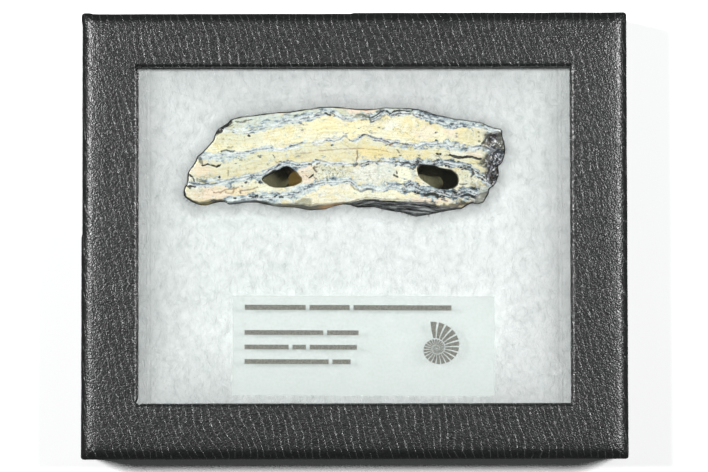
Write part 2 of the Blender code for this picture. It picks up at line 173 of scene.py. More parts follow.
def mesh_from(name, points, faces, smooth=True):
    """A new mesh from its points, in metres, and the corners of its faces."""
    mesh = bpy.data.meshes.new(name)
    mesh.from_pydata([tuple(point) for point in points], [], [tuple(face) for face in faces])
    mesh.update()
    mesh.polygons.foreach_set("use_smooth", [smooth] * len(mesh.polygons))
    return mesh


def carry(mesh, name, values):
    """Stores a value or a colour for each point of a mesh, where its material can read it."""
    kind, field = ("FLOAT", "value") if values.ndim == 1 else ("FLOAT_COLOR", "color")
    mesh.attributes.new(name, kind, "POINT").data.foreach_set(field, values.astype(np.float32).ravel())


print("pieces in the CAD model:", ", ".join(sorted(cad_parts)))


# %% Soft steps and smooth noise
def ease(start, end, value):
    """0 before start, 1 after end, and a smooth rise between them."""
    share = np.clip((value - start) / (end - start), 0.0, 1.0)
    return share * share * (3.0 - 2.0 * share)


def wander(points, scale, seed=0.0):
    """Smooth noise from -1 to 1 at each point. The scale is in features per unit of the points."""
    shift = Vector((seed, 1.7 * seed, -0.6 * seed))
    return np.array([noise.noise(Vector(point) * scale + shift) for point in points])


print("ease at each quarter:", [round(float(ease(0.0, 4.0, quarter)), 2) for quarter in range(5)])


# %% [markdown]
# ## Camera, table and lights
#
# The case lies on a white table and the camera looks down on it, 2 degrees off straight down. The lens
# follows from the distance and the length that the render's width covers at the lid's top. Two softboxes
# hang 0.65 m up, to the left and right, and a little towards the end where the slice lies. A polished
# surface that faces the camera mirrors the dark gap between them, so the glass stays clear, while edges
# that are rounded to the left and right mirror a softbox and shine. A real table is small and stands in a
# dim room, so the wide sheet that stands for it is left out of reflections: the case's glossy sides mirror
# the room.

# %% Camera
RENDER_WIDTH = 708  # pixels
PIXELS_PER_MM = 3.93  # at the level of the lid's top
VIEW_DISTANCE = 670 * MM
VIEW_TILT = math.radians(2.05)
VIEW_ROLL = math.radians(-0.1)
AIM = Vector((-0.14 * MM, -0.28 * MM, cad_high.z))
SENSOR = 36.0

lens = bpy.data.cameras.new("camera")
lens.sensor_width = SENSOR
lens.lens = SENSOR * VIEW_DISTANCE / (RENDER_WIDTH / PIXELS_PER_MM * MM)
lens.dof.use_dof = False
camera = bpy.data.objects.new("camera", lens)
camera.location = AIM + VIEW_DISTANCE * Vector((0.0, -math.sin(VIEW_TILT), math.cos(VIEW_TILT)))
camera.rotation_euler = (VIEW_TILT, 0.0, VIEW_ROLL)
bpy.context.scene.collection.objects.link(camera)
bpy.context.scene.camera = camera
bpy.context.scene.view_settings.view_transform = "Standard"
print("lens:", round(lens.lens, 1), "mm")


# %% Softboxes and dim surroundings
SOFTBOX_OUT, SOFTBOX_UP, SOFTBOX_HEIGHT = 0.53, 0.12, 0.65
SOFTBOX_SIZE = (0.2, 0.16)
ROOM_LIGHT = 0.09


def softbox(name, place, watts):
    """A soft rectangular lamp that faces the case."""
    light = bpy.data.lights.new(name, "AREA")
    light.shape = "RECTANGLE"
    light.size, light.size_y = SOFTBOX_SIZE
    light.energy = watts
    lamp = bpy.data.objects.new(name, light)
    lamp.location = place
    lamp.rotation_euler = (-math.asin(place[1] / Vector(place).length), math.atan2(place[0], place[2]), 0.0)
    bpy.context.scene.collection.objects.link(lamp)


softbox("softbox_left", (-SOFTBOX_OUT, SOFTBOX_UP, SOFTBOX_HEIGHT), 7.5)
softbox("softbox_right", (SOFTBOX_OUT, SOFTBOX_UP, SOFTBOX_HEIGHT), 7.0)

room = bpy.data.worlds.new("dim_room")
room.use_nodes = True
walls = room.node_tree.nodes["Background"]
walls.inputs["Color"].default_value = srgb("#f2f5f5")
walls.inputs["Strength"].default_value = ROOM_LIGHT
bpy.context.scene.world = room
print("softboxes:", len(bpy.data.lights), "each", SOFTBOX_SIZE, "m")

# %% White table
TABLE_HALF = 3.0
table_paint, tree, shader = new_material("matte_white_laminate", Roughness=0.8)
where = millimetres(tree)
cloudy = add(tree, "TexNoise", {"Vector": where, "Scale": 0.004, "Detail": 3.0})
shade = add(tree, "ValToRGB", {"Fac": cloudy}, stops=[(0.3, "#fafbfb"), (0.7, "#fefefe")])
lay(shader, Base_Color=shade)
corners = [(x * TABLE_HALF, y * TABLE_HALF, 0) for x, y in ((-1, -1), (1, -1), (1, 1), (-1, 1))]
table_top = bpy.data.objects.new("table_top", mesh_from("table_top", corners, [(0, 1, 2, 3)]))
dress(table_top.data, table_paint)
bpy.context.scene.collection.objects.link(table_top)
table_top.visible_glossy = False
print("table:", 2 * TABLE_HALF, "m square")

# %% [markdown]
# ## The lid: leatherette paper over chipboard
#
# The lid is a shallow chipboard box with a window cut in its top, covered with black paper that is
# embossed to look like leather. The paper is glued round every edge, so all edges are soft, and at the
# corners it is folded over itself, which leaves a crease along each mitre with a low ridge beside it. It is
# made as one closed skin: a set of section points, from the window over the top, down the side and back
# along the inside, is carried round the rectangle. Columns crowd together near the corners, where the folds
# are. A plain box with a bevel would be quicker, but its edges would be too even for paper folded by hand.

# %% Lid sizes, all in mm
LID_HALF = np.array((cad_high.x, cad_high.y)) / MM
LID_TOP = cad_high.z / MM
LID_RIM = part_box("lid")[0].z / MM
BOARD = 1.4
CEILING = LID_TOP - BOARD  # the underside of the lid's top
WINDOW_HALF = np.array((55.0, 42.8))
BAND = LID_HALF - WINDOW_HALF
OUTER_RADIUS, WINDOW_RADIUS = 3.2, 1.2
PILLOW_REACH, PILLOW_SLOPE = 7.0, math.radians(5.0)  # the paper's top rolls off towards the edges
SIDE_INSET, FLARE_REACH = 0.06, 3.0  # the sides are this much drawn in between the flared corners
COLUMNS = (250, 205)  # along the long and the short side
CROWDING = 0.5  # 0 spaces the columns evenly
TOP_FACE_FROM = 18.0  # above this level the paper is a little wavy
FOLD_FOOT = 10.0  # the folds at the mitres stay above this level
print("lid:", 2 * LID_HALF, "mm, band", BAND, "mm wide")


# %% Section of the lid
def outer_drop(inset):
    """How far the top surface has dropped at a distance in from the side."""
    steps = np.linspace(0.0, PILLOW_REACH, 200)
    round_part = np.arcsin(np.clip(1.0 - steps / OUTER_RADIUS, 0.0, 0.999))
    pillow = PILLOW_SLOPE * ease(PILLOW_REACH, 2.0, steps)
    slope = np.tan(np.minimum(np.maximum(round_part, pillow), 1.45))
    fallen = np.concatenate(([0.0], np.cumsum((slope[1:] + slope[:-1]) / 2 * np.diff(steps))))
    return np.interp(inset, steps, fallen[-1] - fallen)


section = []  # (inset from the outer side, level, rounding of the ring's corners)
for level in (CEILING, LID_TOP - WINDOW_RADIUS):
    section.append((BAND[0], level, 0.15))
for turn in np.linspace(math.pi / 2, 0.0, 6)[1:]:
    outset = WINDOW_RADIUS * (1 - math.sin(turn))
    section.append((BAND[0] - outset, LID_TOP - WINDOW_RADIUS * (1 - math.cos(turn)), 0.15))
for inset in np.linspace(BAND[0] - WINDOW_RADIUS, OUTER_RADIUS, 21)[1:]:
    section.append((inset, LID_TOP - float(outer_drop(inset)), 0.2))
for inset in (2.8, 2.4, 2.0, 1.6, 1.25, 0.92, 0.63, 0.38, 0.18, 0.05, 0.0):
    section.append((inset, LID_TOP - float(outer_drop(inset)), max(0.2, 0.9 - 0.25 * inset)))
side_top = section[-1][1]
for level in np.linspace(side_top, LID_RIM, 16)[1:]:
    section.append((0.0, level, 0.9))
section.append((BOARD, LID_RIM, 0.3))
for level in np.linspace(LID_RIM, CEILING, 8)[1:]:
    section.append((BOARD, level, 0.3))
for inset in np.linspace(BOARD, BAND[0], 5)[1:-1]:
    section.append((inset, CEILING, 0.2))
section = np.array(section)
print("lid section:", len(section), "points, side starts at", round(side_top, 2), "mm")


# %% Columns round the lid
def crowd(count):
    """Even steps from -1 to 1, drawn towards both ends."""
    even = np.linspace(-1.0, 1.0, count, endpoint=False)
    return even + CROWDING / math.pi * np.sin(math.pi * even)


long_way, short_way = crowd(COLUMNS[0]), crowd(COLUMNS[1])
ones_long, ones_short = np.ones(COLUMNS[0]), np.ones(COLUMNS[1])
column_x = np.concatenate((long_way, ones_short, -long_way, -ones_short))
column_y = np.concatenate((-ones_long, short_way, ones_long, -short_way))
on_long_side = np.concatenate((ones_long, 0 * ones_short, ones_long, 0 * ones_short)).astype(bool)
column_count = len(column_x)
loop = np.stack((column_x * LID_HALF[0], column_y * LID_HALF[1], np.zeros(column_count)), axis=1)
edge_wave = wander(loop, 0.16, 3.0) + 0.5 * wander(loop, 0.5, 8.0)
window_wave = wander(loop, 0.22, 14.0) + 0.6 * wander(loop, 0.75, 19.0)
print("lid columns:", column_count)


# %% Outline of a ring
def ring_outline(half, corner):
    """A rectangle with rounded corners, by its half-sizes and its corner radius, at every column."""
    x, y = column_x * half[0], column_y * half[1]
    over = np.stack((np.abs(x) - half[0] + corner, np.abs(y) - half[1] + corner))
    at_corner = (over > 0).all(axis=0)
    pull = np.where(at_corner, over.max(axis=0) / np.maximum(np.hypot(*over), 1e-9), 1.0)
    x = np.where(at_corner, np.sign(x) * (half[0] - corner + over[0] * pull), x)
    y = np.where(at_corner, np.sign(y) * (half[1] - corner + over[1] * pull), y)
    return x, y


def drawn_in(inset, from_corner):
    """How far the paper lies inside a ring's outline, in mm."""
    depth = SIDE_INSET * (1.0 - np.exp(-from_corner / FLARE_REACH)) * math.exp(-inset / 4.0)
    depth = depth + 0.05 * edge_wave * ease(1.0, 5.0, from_corner) * math.exp(-inset / 3.0)

    # the top left corner's fold stands out as a small knob
    knob = (column_x < 0) & (column_y > 0)
    depth = depth + np.where(knob, 0.22 * ease(2.0, 3.2, from_corner) * math.exp(-inset), 0.0)

    # the window's paper is wavy, and stands open at its left corners
    window_near = math.exp(-((BAND[0] - inset) / 0.9) ** 2)
    depth = depth + 0.05 * window_wave * window_near
    gap = np.where(on_long_side, 0.3 * ease(1.0, 0.0, from_corner), 0.55 * ease(1.6, 0.0, from_corner))
    return depth - window_near * (column_x < 0) * gap


far_from_corners = np.full(column_count, 20.0)
print("the sides are drawn in by", round(float(drawn_in(0.0, far_from_corners).mean()), 3), "mm")


# %% Rings of the lid
def lid_ring(inset, level, corner):
    """One ring of points, with rounded corners, drawn-in sides and the folds at its corners."""
    share = inset / BAND[0]
    half = LID_HALF - share * BAND
    x, y = ring_outline(half, corner)
    from_sides = half[:, None] - np.abs(np.stack((column_x, column_y)) * half[:, None])
    from_corner = np.where(on_long_side, *from_sides)
    depth = drawn_in(inset, from_corner)
    x = x + np.where(on_long_side, 0.0, -np.sign(column_x)) * depth
    y = y + np.where(on_long_side, -np.sign(column_y), 0.0) * depth

    # the top is a little wavy, and creased at its corners
    z = np.full(column_count, level)
    if inset > 0.3 and level > TOP_FACE_FROM:
        flat = np.stack((x, y, np.zeros(column_count)), axis=1)
        z = z - 0.05 - 0.035 * wander(flat, 0.12, 5.0) - 0.02 * wander(flat, 0.55, 6.0)
    if level > FOLD_FOOT and share < 0.6:
        fold = np.exp(-((from_corner / 0.45) ** 2)) * math.exp(-((inset / 2.6) ** 2))
        beside = np.exp(-(((from_corner - 0.9) / 0.5) ** 2)) * math.exp(-((inset / 3.0) ** 2))
        z = z - 0.28 * fold * (inset > 0) + 0.03 * beside
    return np.stack((x, y, np.minimum(z, LID_TOP)), axis=1)


rings = np.array([lid_ring(*point) for point in section])
rows = len(section)
index = np.arange(rows * column_count).reshape(rows, column_count)
next_row, next_column = np.roll(index, -1, axis=0), np.roll(index, -1, axis=1)
both = np.roll(next_row, -1, axis=1)
faces = np.stack((index, next_column, both, next_row), axis=-1).reshape(-1, 4)
lid_mesh = mesh_from("lid_leatherette", rings.reshape(-1, 3) * MM, faces)
check = bmesh.new()
check.from_mesh(lid_mesh)
bmesh.ops.recalc_face_normals(check, faces=check.faces)
print("lid faces:", len(check.faces), "volume in cm3:", round(check.calc_volume() * 1e6, 1))
check.to_mesh(lid_mesh)
check.free()

# %% [markdown]
# ## Leatherette: black paper, coated and embossed
#
# The paper has a thin plastic coat and is pressed with an engraved roller. The roller leaves raised creases
# about 1.8 mm apart that lean a little to the left and break off here and there, over a grain of 0.4 mm. The
# coat is a plain dielectric, so what the eye sees is the softboxes' light caught by the flanks of each
# crease. Creases are made by folding a leaning coordinate back and forth, after two noises have bent it, and
# a third noise breaks them up. They and the grain drive a Bump node, and the creases are also painted a shade
# paler, a painted highlight for the light their flanks catch.

# %% Creases and grain
CREASE_LEAN = math.radians(16.0)
CREASE_SPACING, CREASE_WIDTH, CREASE_HEIGHT = 1.8, 0.18, 0.085  # mm
GRAIN_WIDTH, GRAIN_HEIGHT = 0.38, 0.105  # mm

leatherette, tree, shader = new_material("embossed_leatherette_paper", IOR=1.6)
where = millimetres(tree)

# two noises bend the creases: a slow one by millimetres, a quick one by tenths
drift = add(tree, "TexNoise", {"Vector": where, "Scale": 0.07, "Detail": 1.0})
swing = add(tree, "VectorMath", {0: drift.outputs["Color"], 1: (0.5, 0.5, 0.5)}, operation="SUBTRACT")
swung = add(tree, "VectorMath", {0: swing, 1: (6.0, 2.0, 0.0), 2: where}, operation="MULTIPLY_ADD")
ruffle = add(tree, "TexNoise", {"Vector": where, "Scale": 0.7, "Detail": 3.0, "Roughness": 0.6})
ruffled = add(
    tree, "VectorMath", {0: ruffle.outputs["Color"], 1: (1.0, 0.3, 0.0), 2: swung}, operation="MULTIPLY_ADD"
)

# the leaning coordinate, folded back and forth, tells how far the nearest crease is
leaning = add(tree, "Mapping", {"Vector": ruffled, "Rotation": (0.0, 0.0, -CREASE_LEAN)})
aslant = add(tree, "SeparateXYZ", {"Vector": leaning})
rank = add(tree, "Math", {0: aslant.outputs["X"], 1: 1 / CREASE_SPACING}, operation="MULTIPLY")
to_line = add(tree, "Math", {0: rank, 1: 0.5}, operation="PINGPONG")
crease = add(
    tree, "MapRange",
    {"Value": to_line, "From Max": CREASE_WIDTH / CREASE_SPACING, "To Min": 1.0, "To Max": 0.0},
    interpolation_type="SMOOTHSTEP",
)

# a third noise breaks the creases, and the grain lies between them
broken = add(tree, "VectorMath", {0: leaning, 1: (0.5, 0.42, 0.3)}, operation="MULTIPLY")
breaks = add(tree, "TexNoise", {"Vector": broken, "Scale": 1.3, "Detail": 3.0, "Roughness": 0.7})
kept = add(tree, "MapRange", {"Value": breaks, "From Min": 0.4, "From Max": 0.5})
pressed = add(tree, "Math", {0: crease, 1: kept}, operation="MULTIPLY")
grain = add(tree, "TexVoronoi", {"Vector": where, "Scale": 1 / GRAIN_WIDTH}, feature="SMOOTH_F1")
grain_drop = add(tree, "Math", {0: grain.outputs["Distance"], 1: -GRAIN_HEIGHT}, operation="MULTIPLY")
height = add(tree, "Math", {0: pressed, 1: CREASE_HEIGHT, 2: grain_drop}, operation="MULTIPLY_ADD")
embossing = add(tree, "Bump", {"Height": height, "Distance": MM, "Strength": 1.0})
print("creases every", CREASE_SPACING, "mm, grain every", GRAIN_WIDTH, "mm")

# %% Black coat
worn = add(tree, "TexNoise", {"Vector": where, "Scale": 1.6, "Detail": 2.0})
gloss = add(tree, "MapRange", {"Value": worn, "From Min": 0.3, "From Max": 0.7, "To Min": 0.3, "To Max": 0.4})
rubbed = add(tree, "Math", {0: pressed, 1: -0.12, 2: gloss}, operation="MULTIPLY_ADD")
black = add(tree, "ValToRGB", {"Fac": worn}, stops=[(0.3, "#0e0f0f"), (0.7, "#151716")])
# painted highlight: the creases are painted paler, for the glint along each crease
crease_highlight = add(tree, "Math", {0: pressed, 1: 0.4}, operation="MULTIPLY")
coat = add(tree, "Mix", {"Factor": crease_highlight, "A": black, "B": srgb("#565857")}, data_type="RGBA")
lay(shader, Base_Color=coat, Roughness=rubbed, Normal=embossing)

lid = new_piece("lid_leatherette", lid_mesh, leatherette)
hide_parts("lid")
print("leatherette:", len(tree.nodes), "nodes")

# %% [markdown]
# ## Tray, pins and glass
#
# These three keep their CAD shapes, because their real ones are just as plain: a folded board tray, two
# dome-headed pins and a flat pane. The tray is covered with matte black paper, whose fibres show as a faint
# mottle. The pins are drawn steel with fine scratches, which run along the wire. The pane is window glass: it
# has no colour of its own at this thickness, only a clear sheet with a reflection. It casts no shadow and
# holds back no light that the fill scatters, since clear glass hardly does.

# %% Black paper on the tray
paper, tree, shader = new_material("matte_black_paper", IOR=1.5)
where = millimetres(tree)
pulp = add(tree, "TexNoise", {"Vector": where, "Scale": 1.6, "Detail": 4.0, "Roughness": 0.65})
dye = add(tree, "ValToRGB", {"Fac": pulp}, stops=[(0.3, "#191919"), (0.75, "#262626")])
felt = add(tree, "Bump", {"Height": pulp, "Distance": 0.05 * MM, "Strength": 1.0})
matte = add(tree, "MapRange", {"Value": pulp, "To Min": 0.6, "To Max": 0.8})
lay(shader, Base_Color=dye, Roughness=matte, Normal=felt)
dress(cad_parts["tray"].data, paper)

# %% Drawn steel on the pins
steel, tree, shader = new_material("drawn_steel_wire", Metallic=1.0)
where = millimetres(tree)
along_wire = add(tree, "VectorMath", {0: where, 1: (0.4, 6.0, 6.0)}, operation="MULTIPLY")
scratches = add(tree, "TexNoise", {"Vector": along_wire, "Scale": 1.0, "Detail": 3.0})
tint = add(tree, "ValToRGB", {"Fac": scratches}, stops=[(0.3, "#8f9092"), (0.7, "#b4b5b6")])
wiped = add(tree, "MapRange", {"Value": scratches, "To Min": 0.2, "To Max": 0.45})
grooves = add(tree, "Bump", {"Height": scratches, "Distance": 0.01 * MM, "Strength": 1.0})
lay(shader, Base_Color=tint, Roughness=wiped, Normal=grooves)
for name in ("pin_left", "pin_right"):
    dress(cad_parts[name].data, steel)

# %% Window glass on the pane
glass, tree, shader = new_material("clear_float_glass", IOR=1.5, Roughness=0.0, Transmission_Weight=1.0)
where = millimetres(tree)
ripple = add(tree, "TexNoise", {"Vector": where, "Scale": 0.03, "Detail": 1.0})
water_clear = add(tree, "ValToRGB", {"Fac": ripple}, stops=[(0.3, "#fbfdfc"), (0.7, "#ffffff")])
lay(shader, Base_Color=water_clear)
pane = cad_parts["glass_pane"]
dress(pane.data, glass)
pane.visible_shadow = False
pane.visible_diffuse = False

# %% [markdown]
# ## The fibre fill
#
# The fill is a block of loose white polyester fibres, pressed flat by the glass but soft and uneven where
# nothing holds it: it sinks towards the walls and around the slice. It starts from the CAD pad, which already
# has these hollows and the slice's pocket. A voxel remesh gives it an even skin, a smoothing takes the
# facets out, and noise of three sizes lifts and sinks its tufts. Tufts never rise to the glass. Cloth could
# not do this: a sheet drapes over a block, while a fill is the block itself.


# %% Rebuild a skin
def remeshed(node, voxel, name):
    """A CAD node's mesh rebuilt from even quads, as a new mesh."""
    stand_in = bpy.data.objects.new(name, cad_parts[node].data.copy())
    bpy.context.scene.collection.objects.link(stand_in)
    rebuild = stand_in.modifiers.new("even_skin", "REMESH")
    rebuild.mode = "VOXEL"
    rebuild.voxel_size = voxel
    rebuild.adaptivity = 0.0
    evaluated = stand_in.evaluated_get(bpy.context.evaluated_depsgraph_get())
    mesh = bpy.data.meshes.new_from_object(evaluated)
    mesh.name = name
    bpy.data.objects.remove(stand_in)
    return mesh


def coordinates(mesh):
    """The points of a mesh, in metres, one row for each."""
    flat = np.zeros(len(mesh.vertices) * 3)
    mesh.vertices.foreach_get("co", flat)
    return flat.reshape(-1, 3)


def set_coordinates(mesh, points):
    """Moves the points of a mesh, in metres, and shades it smooth."""
    mesh.vertices.foreach_set("co", points.ravel())
    mesh.update()
    mesh.polygons.foreach_set("use_smooth", [True] * len(mesh.polygons))


print("the CAD pad has", len(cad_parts["fibre_fill"].data.vertices), "points, too few to shape")


# %% Even skin of the fibre fill
FILL_VOXEL = 0.7 * MM
FILL_FLOOR, FILL_ROOF = (corner.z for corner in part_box("fibre_fill"))
TOP_SKIN = FILL_FLOOR + 8.2 * MM  # the pad's top lies above this level, its pocket's floor below
SMOOTHINGS = 8

fill_mesh = remeshed("fibre_fill", FILL_VOXEL, "fibre_fill_pad")
soft = bmesh.new()
soft.from_mesh(fill_mesh)
upper = [v for v in soft.verts if v.normal.z > 0.8 and v.co.z > TOP_SKIN]
for _ in range(SMOOTHINGS):
    bmesh.ops.smooth_vert(soft, verts=upper, factor=0.5, use_axis_z=True)
soft.to_mesh(fill_mesh)
soft.free()
print("fill pad:", len(fill_mesh.vertices), "points,", len(upper), "of them smoothed")

# %% Tufts
TUFTS = ((0.09, 0.45), (0.3, 0.22), (0.9, 0.10))  # features per mm, height in mm
SIDE_LIFT = 0.9  # along the window's sides the pad is tucked up against the glass by this share
LIFTED_FROM = (11.5, 12.5)  # mm, only what lies above this level is tucked up

points = coordinates(fill_mesh)
facing_up = np.array([v.normal.z for v in fill_mesh.vertices]) > 0.5
tops = np.where(facing_up & (points[:, 2] > TOP_SKIN))[0]
level = np.stack((points[tops, 0], points[tops, 1], np.zeros(len(tops))), axis=1) / MM
for number, (scale, tuft) in enumerate(TUFTS):
    points[tops, 2] += tuft * MM * (wander(level, scale, 4.0 + number) - 0.35)
to_wall = np.minimum(*(WINDOW_HALF[axis] - np.abs(level[:, axis]) for axis in (0, 1)))
beside_window = ease(15.0, 3.0, to_wall) * ease(-6.0, -1.0, to_wall)  # a little past the edge as well
tucked_up = SIDE_LIFT * beside_window * ease(*LIFTED_FROM, points[tops, 2] / MM)
points[tops, 2] += tucked_up * (FILL_ROOF - points[tops, 2])
print("points in the pad's top:", len(tops))

# %% [markdown]
# ## Fill nestled round the slice
#
# Loose fill closes round whatever is pressed into it. So near the slice the skin is drawn up to a brim, and
# in towards the slice's side until only a hair's gap is left. The pull eases off with distance, because a
# pull that stopped at once would leave folds. How near each point is to the slice is kept for the material,
# which paints a soft shade on the fill close to the slice.

# %% Draw the fill to the slice
NESTLE_REACH, NESTLE_GAP = 4.5, 0.17  # mm
PULL_REACH, PRESSED_FLAT = 2.6, 1.1  # mm, where the pull begins and where it has closed the gap
BRIM, BELOW_EDGE = 14.4, 0.4  # mm, the highest brim, and how far it stays below the slice's edge
POCKET_SIDE_FROM = 11.0 * MM


def skin_of(mesh):
    """A mesh's faces in a tree, for finding the nearest point or what lies below."""
    return BVHTree.FromPolygons([v.co for v in mesh.vertices], [p.vertices for p in mesh.polygons])


slice_skin = skin_of(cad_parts["tooth_slice"].data)
down = Vector((0.0, 0.0, -1.0))
raised = set(tops.tolist())
beside_slice = np.full(len(points), NESTLE_REACH)
nestled = 0
for i in np.where(points[:, 2] > POCKET_SIDE_FROM)[0]:
    here = Vector(points[i])
    foot, _, _, distance = slice_skin.find_nearest(here, NESTLE_REACH * MM)
    if foot is None:
        continue
    beside_slice[i] = distance / MM
    inward = Vector((foot.x - here.x, foot.y - here.y, 0.0)).normalized()
    if i in raised:
        shoulder = slice_skin.ray_cast(foot + 0.5 * MM * inward + Vector((0.0, 0.0, 0.01)), down)[0]
        brim = min(BRIM * MM, shoulder.z - BELOW_EDGE * MM) if shoulder else here.z
        here.z += float(ease(NESTLE_REACH, 0.6, distance / MM)) * max(brim - here.z, 0.0)
    if distance < PULL_REACH * MM:
        held_off = max(distance / MM - PRESSED_FLAT, 0.0) / (PULL_REACH - PRESSED_FLAT)
        drawn_to = NESTLE_GAP + held_off * (PULL_REACH - NESTLE_GAP)
        here += inward * max(distance - drawn_to * MM, 0.0)
        beside_slice[i] = drawn_to
    points[i] = here
    nestled += 1
print("fill points drawn up to the slice:", nestled)
points[:, 2] = np.minimum(points[:, 2], FILL_ROOF)
set_coordinates(fill_mesh, points)
carry(fill_mesh, "beside_slice", beside_slice)

# %% [markdown]
# ## White polyester fibre
#
# Each fibre is clear, but the many surfaces of a mat of them scatter nearly all light, so it looks white and
# quite matte, a little cool, with soft grey hollows between tufts. Real fibres are about 0.03 mm thick, too
# fine to show, so the finest streaks are drawn 0.3 mm wide, in two crossing directions. Shade is painted into
# its colour: darker towards the window's edges, where the lid shades the fill, and round the slice, where the
# slice shades it. Right at the left and right sides it is painted paler again, painted light that makes up
# for the lid's shadow there. Under the slice, where the cavities show it, it is painted an olive shade, for
# the deep shade there and the light that the tooth's brown walls bounce on it.

# %% Streaks and tufts of fibre
fibre, tree, shader = new_material("carded_polyester_fibre", Roughness=0.9, IOR=1.45, Specular_IOR_Level=0.15)
where = millimetres(tree)
curl = add(tree, "TexNoise", {"Vector": where, "Scale": 0.35, "Detail": 2.0})
curled = add(
    tree, "VectorMath", {0: curl.outputs["Color"], 1: (5.0, 5.0, 2.0), 2: where}, operation="MULTIPLY_ADD"
)
streaks = []
for degrees, stretch in ((35.0, (3.2, 0.5, 1.0)), (-48.0, (3.0, 0.45, 1.0))):
    turn = (0.0, 0.0, math.radians(degrees))
    laid = add(tree, "Mapping", {"Vector": curled, "Rotation": turn, "Scale": stretch})
    streaks.append(add(tree, "TexNoise", {"Vector": laid, "Scale": 1.0, "Detail": 3.0, "Roughness": 0.6}))
matted = add(tree, "Math", {0: streaks[0], 1: streaks[1]}, operation="ADD")
tufts = add(tree, "TexNoise", {"Vector": where, "Scale": 0.45, "Detail": 4.0, "Roughness": 0.6})
mottle = add(tree, "Math", {0: matted, 1: 0.5, 2: tufts}, operation="MULTIPLY_ADD")
mottle_half = add(tree, "Math", {0: mottle, 1: 0.5}, operation="MULTIPLY")
white = add(
    tree, "ValToRGB", {"Fac": mottle_half}, stops=[(0.3, "#afb5b4"), (0.475, "#c7cccb"), (0.625, "#d2d6d5")]
)
fluff = add(tree, "Bump", {"Height": matted, "Distance": 0.18 * MM, "Strength": 1.0})
print("fibre streaks in", len(streaks), "directions")

# %% Painted shade and light on the fill
across = add(tree, "SeparateXYZ", {"Vector": where})
off_side = add(tree, "Math", {0: across.outputs["X"]}, operation="ABSOLUTE")
off_middle = add(tree, "Math", {0: across.outputs["Y"]}, operation="ABSOLUTE")
side_gap = add(tree, "Math", {0: float(WINDOW_HALF[0]), 1: off_side}, operation="SUBTRACT")
end_gap = add(tree, "Math", {0: float(WINDOW_HALF[1]), 1: off_middle}, operation="SUBTRACT")
to_edge = add(tree, "Math", {0: side_gap, 1: end_gap, 2: 8.0}, operation="SMOOTH_MIN")
# painted shade: the fill darkens towards the window's edges, where the lid shades it
painted_edge_shade = add(tree, "MapRange", {"Value": to_edge, "From Max": 16.0, "To Min": 0.72})
# painted light: right at the left and right sides the fill is painted up to twice as bright, to make up for
# the lid's shadow
painted_side_light = add(
    tree, "MapRange", {"Value": side_gap, "From Min": 2.85, "From Max": 1.65, "To Min": 1.0, "To Max": 2.1}
)
# painted shade: a little darker just inside that bright strip
painted_side_shade = add(tree, "MapRange", {"Value": side_gap, "From Min": 2.0, "From Max": 7.5, "To Min": 0.85})
painted_side_light_and_shade = add(tree, "Math", {0: painted_side_light, 1: painted_side_shade}, operation="MULTIPLY")
painted_wall_light_and_shade = add(tree, "Math", {0: painted_edge_shade, 1: painted_side_light_and_shade}, operation="MULTIPLY")
beside = add(tree, "Attribute", attribute_name="beside_slice").outputs["Fac"]
# painted shade: the fill is darker close to the slice, where the slice shades it
painted_slice_shade = add(tree, "MapRange", {"Value": beside, "From Min": 0.3, "From Max": 4.0, "To Min": 0.62})
level_of_light = add(tree, "Math", {0: painted_wall_light_and_shade, 1: painted_slice_shade}, operation="MULTIPLY")
shaded = add(tree, "VectorMath", {0: white, "Scale": level_of_light}, operation="SCALE")
# painted shade: the pocket floor under the slice, seen through the cavities, is painted olive for its deep
# shade and the light the brown walls bounce on it
pocket_shade_mask = add(tree, "MapRange", {"Value": across.outputs["Z"], "From Min": 10.0, "From Max": 9.2})
pocket_shade_tinted = add(tree, "Mix", {"Factor": pocket_shade_mask, "A": shaded, "B": srgb("#716f55")}, data_type="RGBA")
lay(shader, Base_Color=pocket_shade_tinted, Normal=fluff)

fill = new_piece("fibre_fill_pad", fill_mesh, fibre)
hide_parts("fibre_fill")
print("fibre material:", len(tree.nodes), "nodes")

# %% [markdown]
# ## Loose fibres
#
# A few fibres stand off the mat and catch the light as fine curved lines. Each is a thin three-sided tube
# that bends at random and follows the pad's skin. They are drawn 0.07 mm thick, twice their real size, so
# that the thinnest still shows. Hair curves would be easier, but only a mesh is carried into other programs.

# %% Paths of the loose fibres
FIBRE_COUNT, FIBRE_STEPS, SHORTEST_PATH = 260, 20, 6
FIBRE_STEP = 0.6  # mm
FIBRE_FIELD = (60.0, 47.0)  # mm, each way from the middle
FIBRE_OFF_SKIN = 0.06 * MM
draw = np.random.default_rng(11)
fill_skin = skin_of(fill_mesh)


def fibre_path():
    """Points along one fibre, which starts anywhere on the pad and wanders over it."""
    x, y = (draw.uniform(-reach, reach) for reach in FIBRE_FIELD)
    heading, bend = draw.uniform(0.0, 2 * math.pi), draw.normal(0.0, 0.09)
    path = []
    for _ in range(FIBRE_STEPS):
        hit = fill_skin.ray_cast(Vector((x * MM, y * MM, 0.03)), down)[0]
        if hit is None or hit.z < TOP_SKIN + 0.3 * MM:
            break
        path.append(Vector((hit.x, hit.y, min(hit.z + FIBRE_OFF_SKIN, FILL_ROOF + 0.1 * MM))))
        heading += bend + draw.normal(0.0, 0.06)
        x, y = x + FIBRE_STEP * math.cos(heading), y + FIBRE_STEP * math.sin(heading)
    return path


paths = [path for path in (fibre_path() for _ in range(FIBRE_COUNT)) if len(path) >= SHORTEST_PATH]
print("loose fibres:", len(paths))

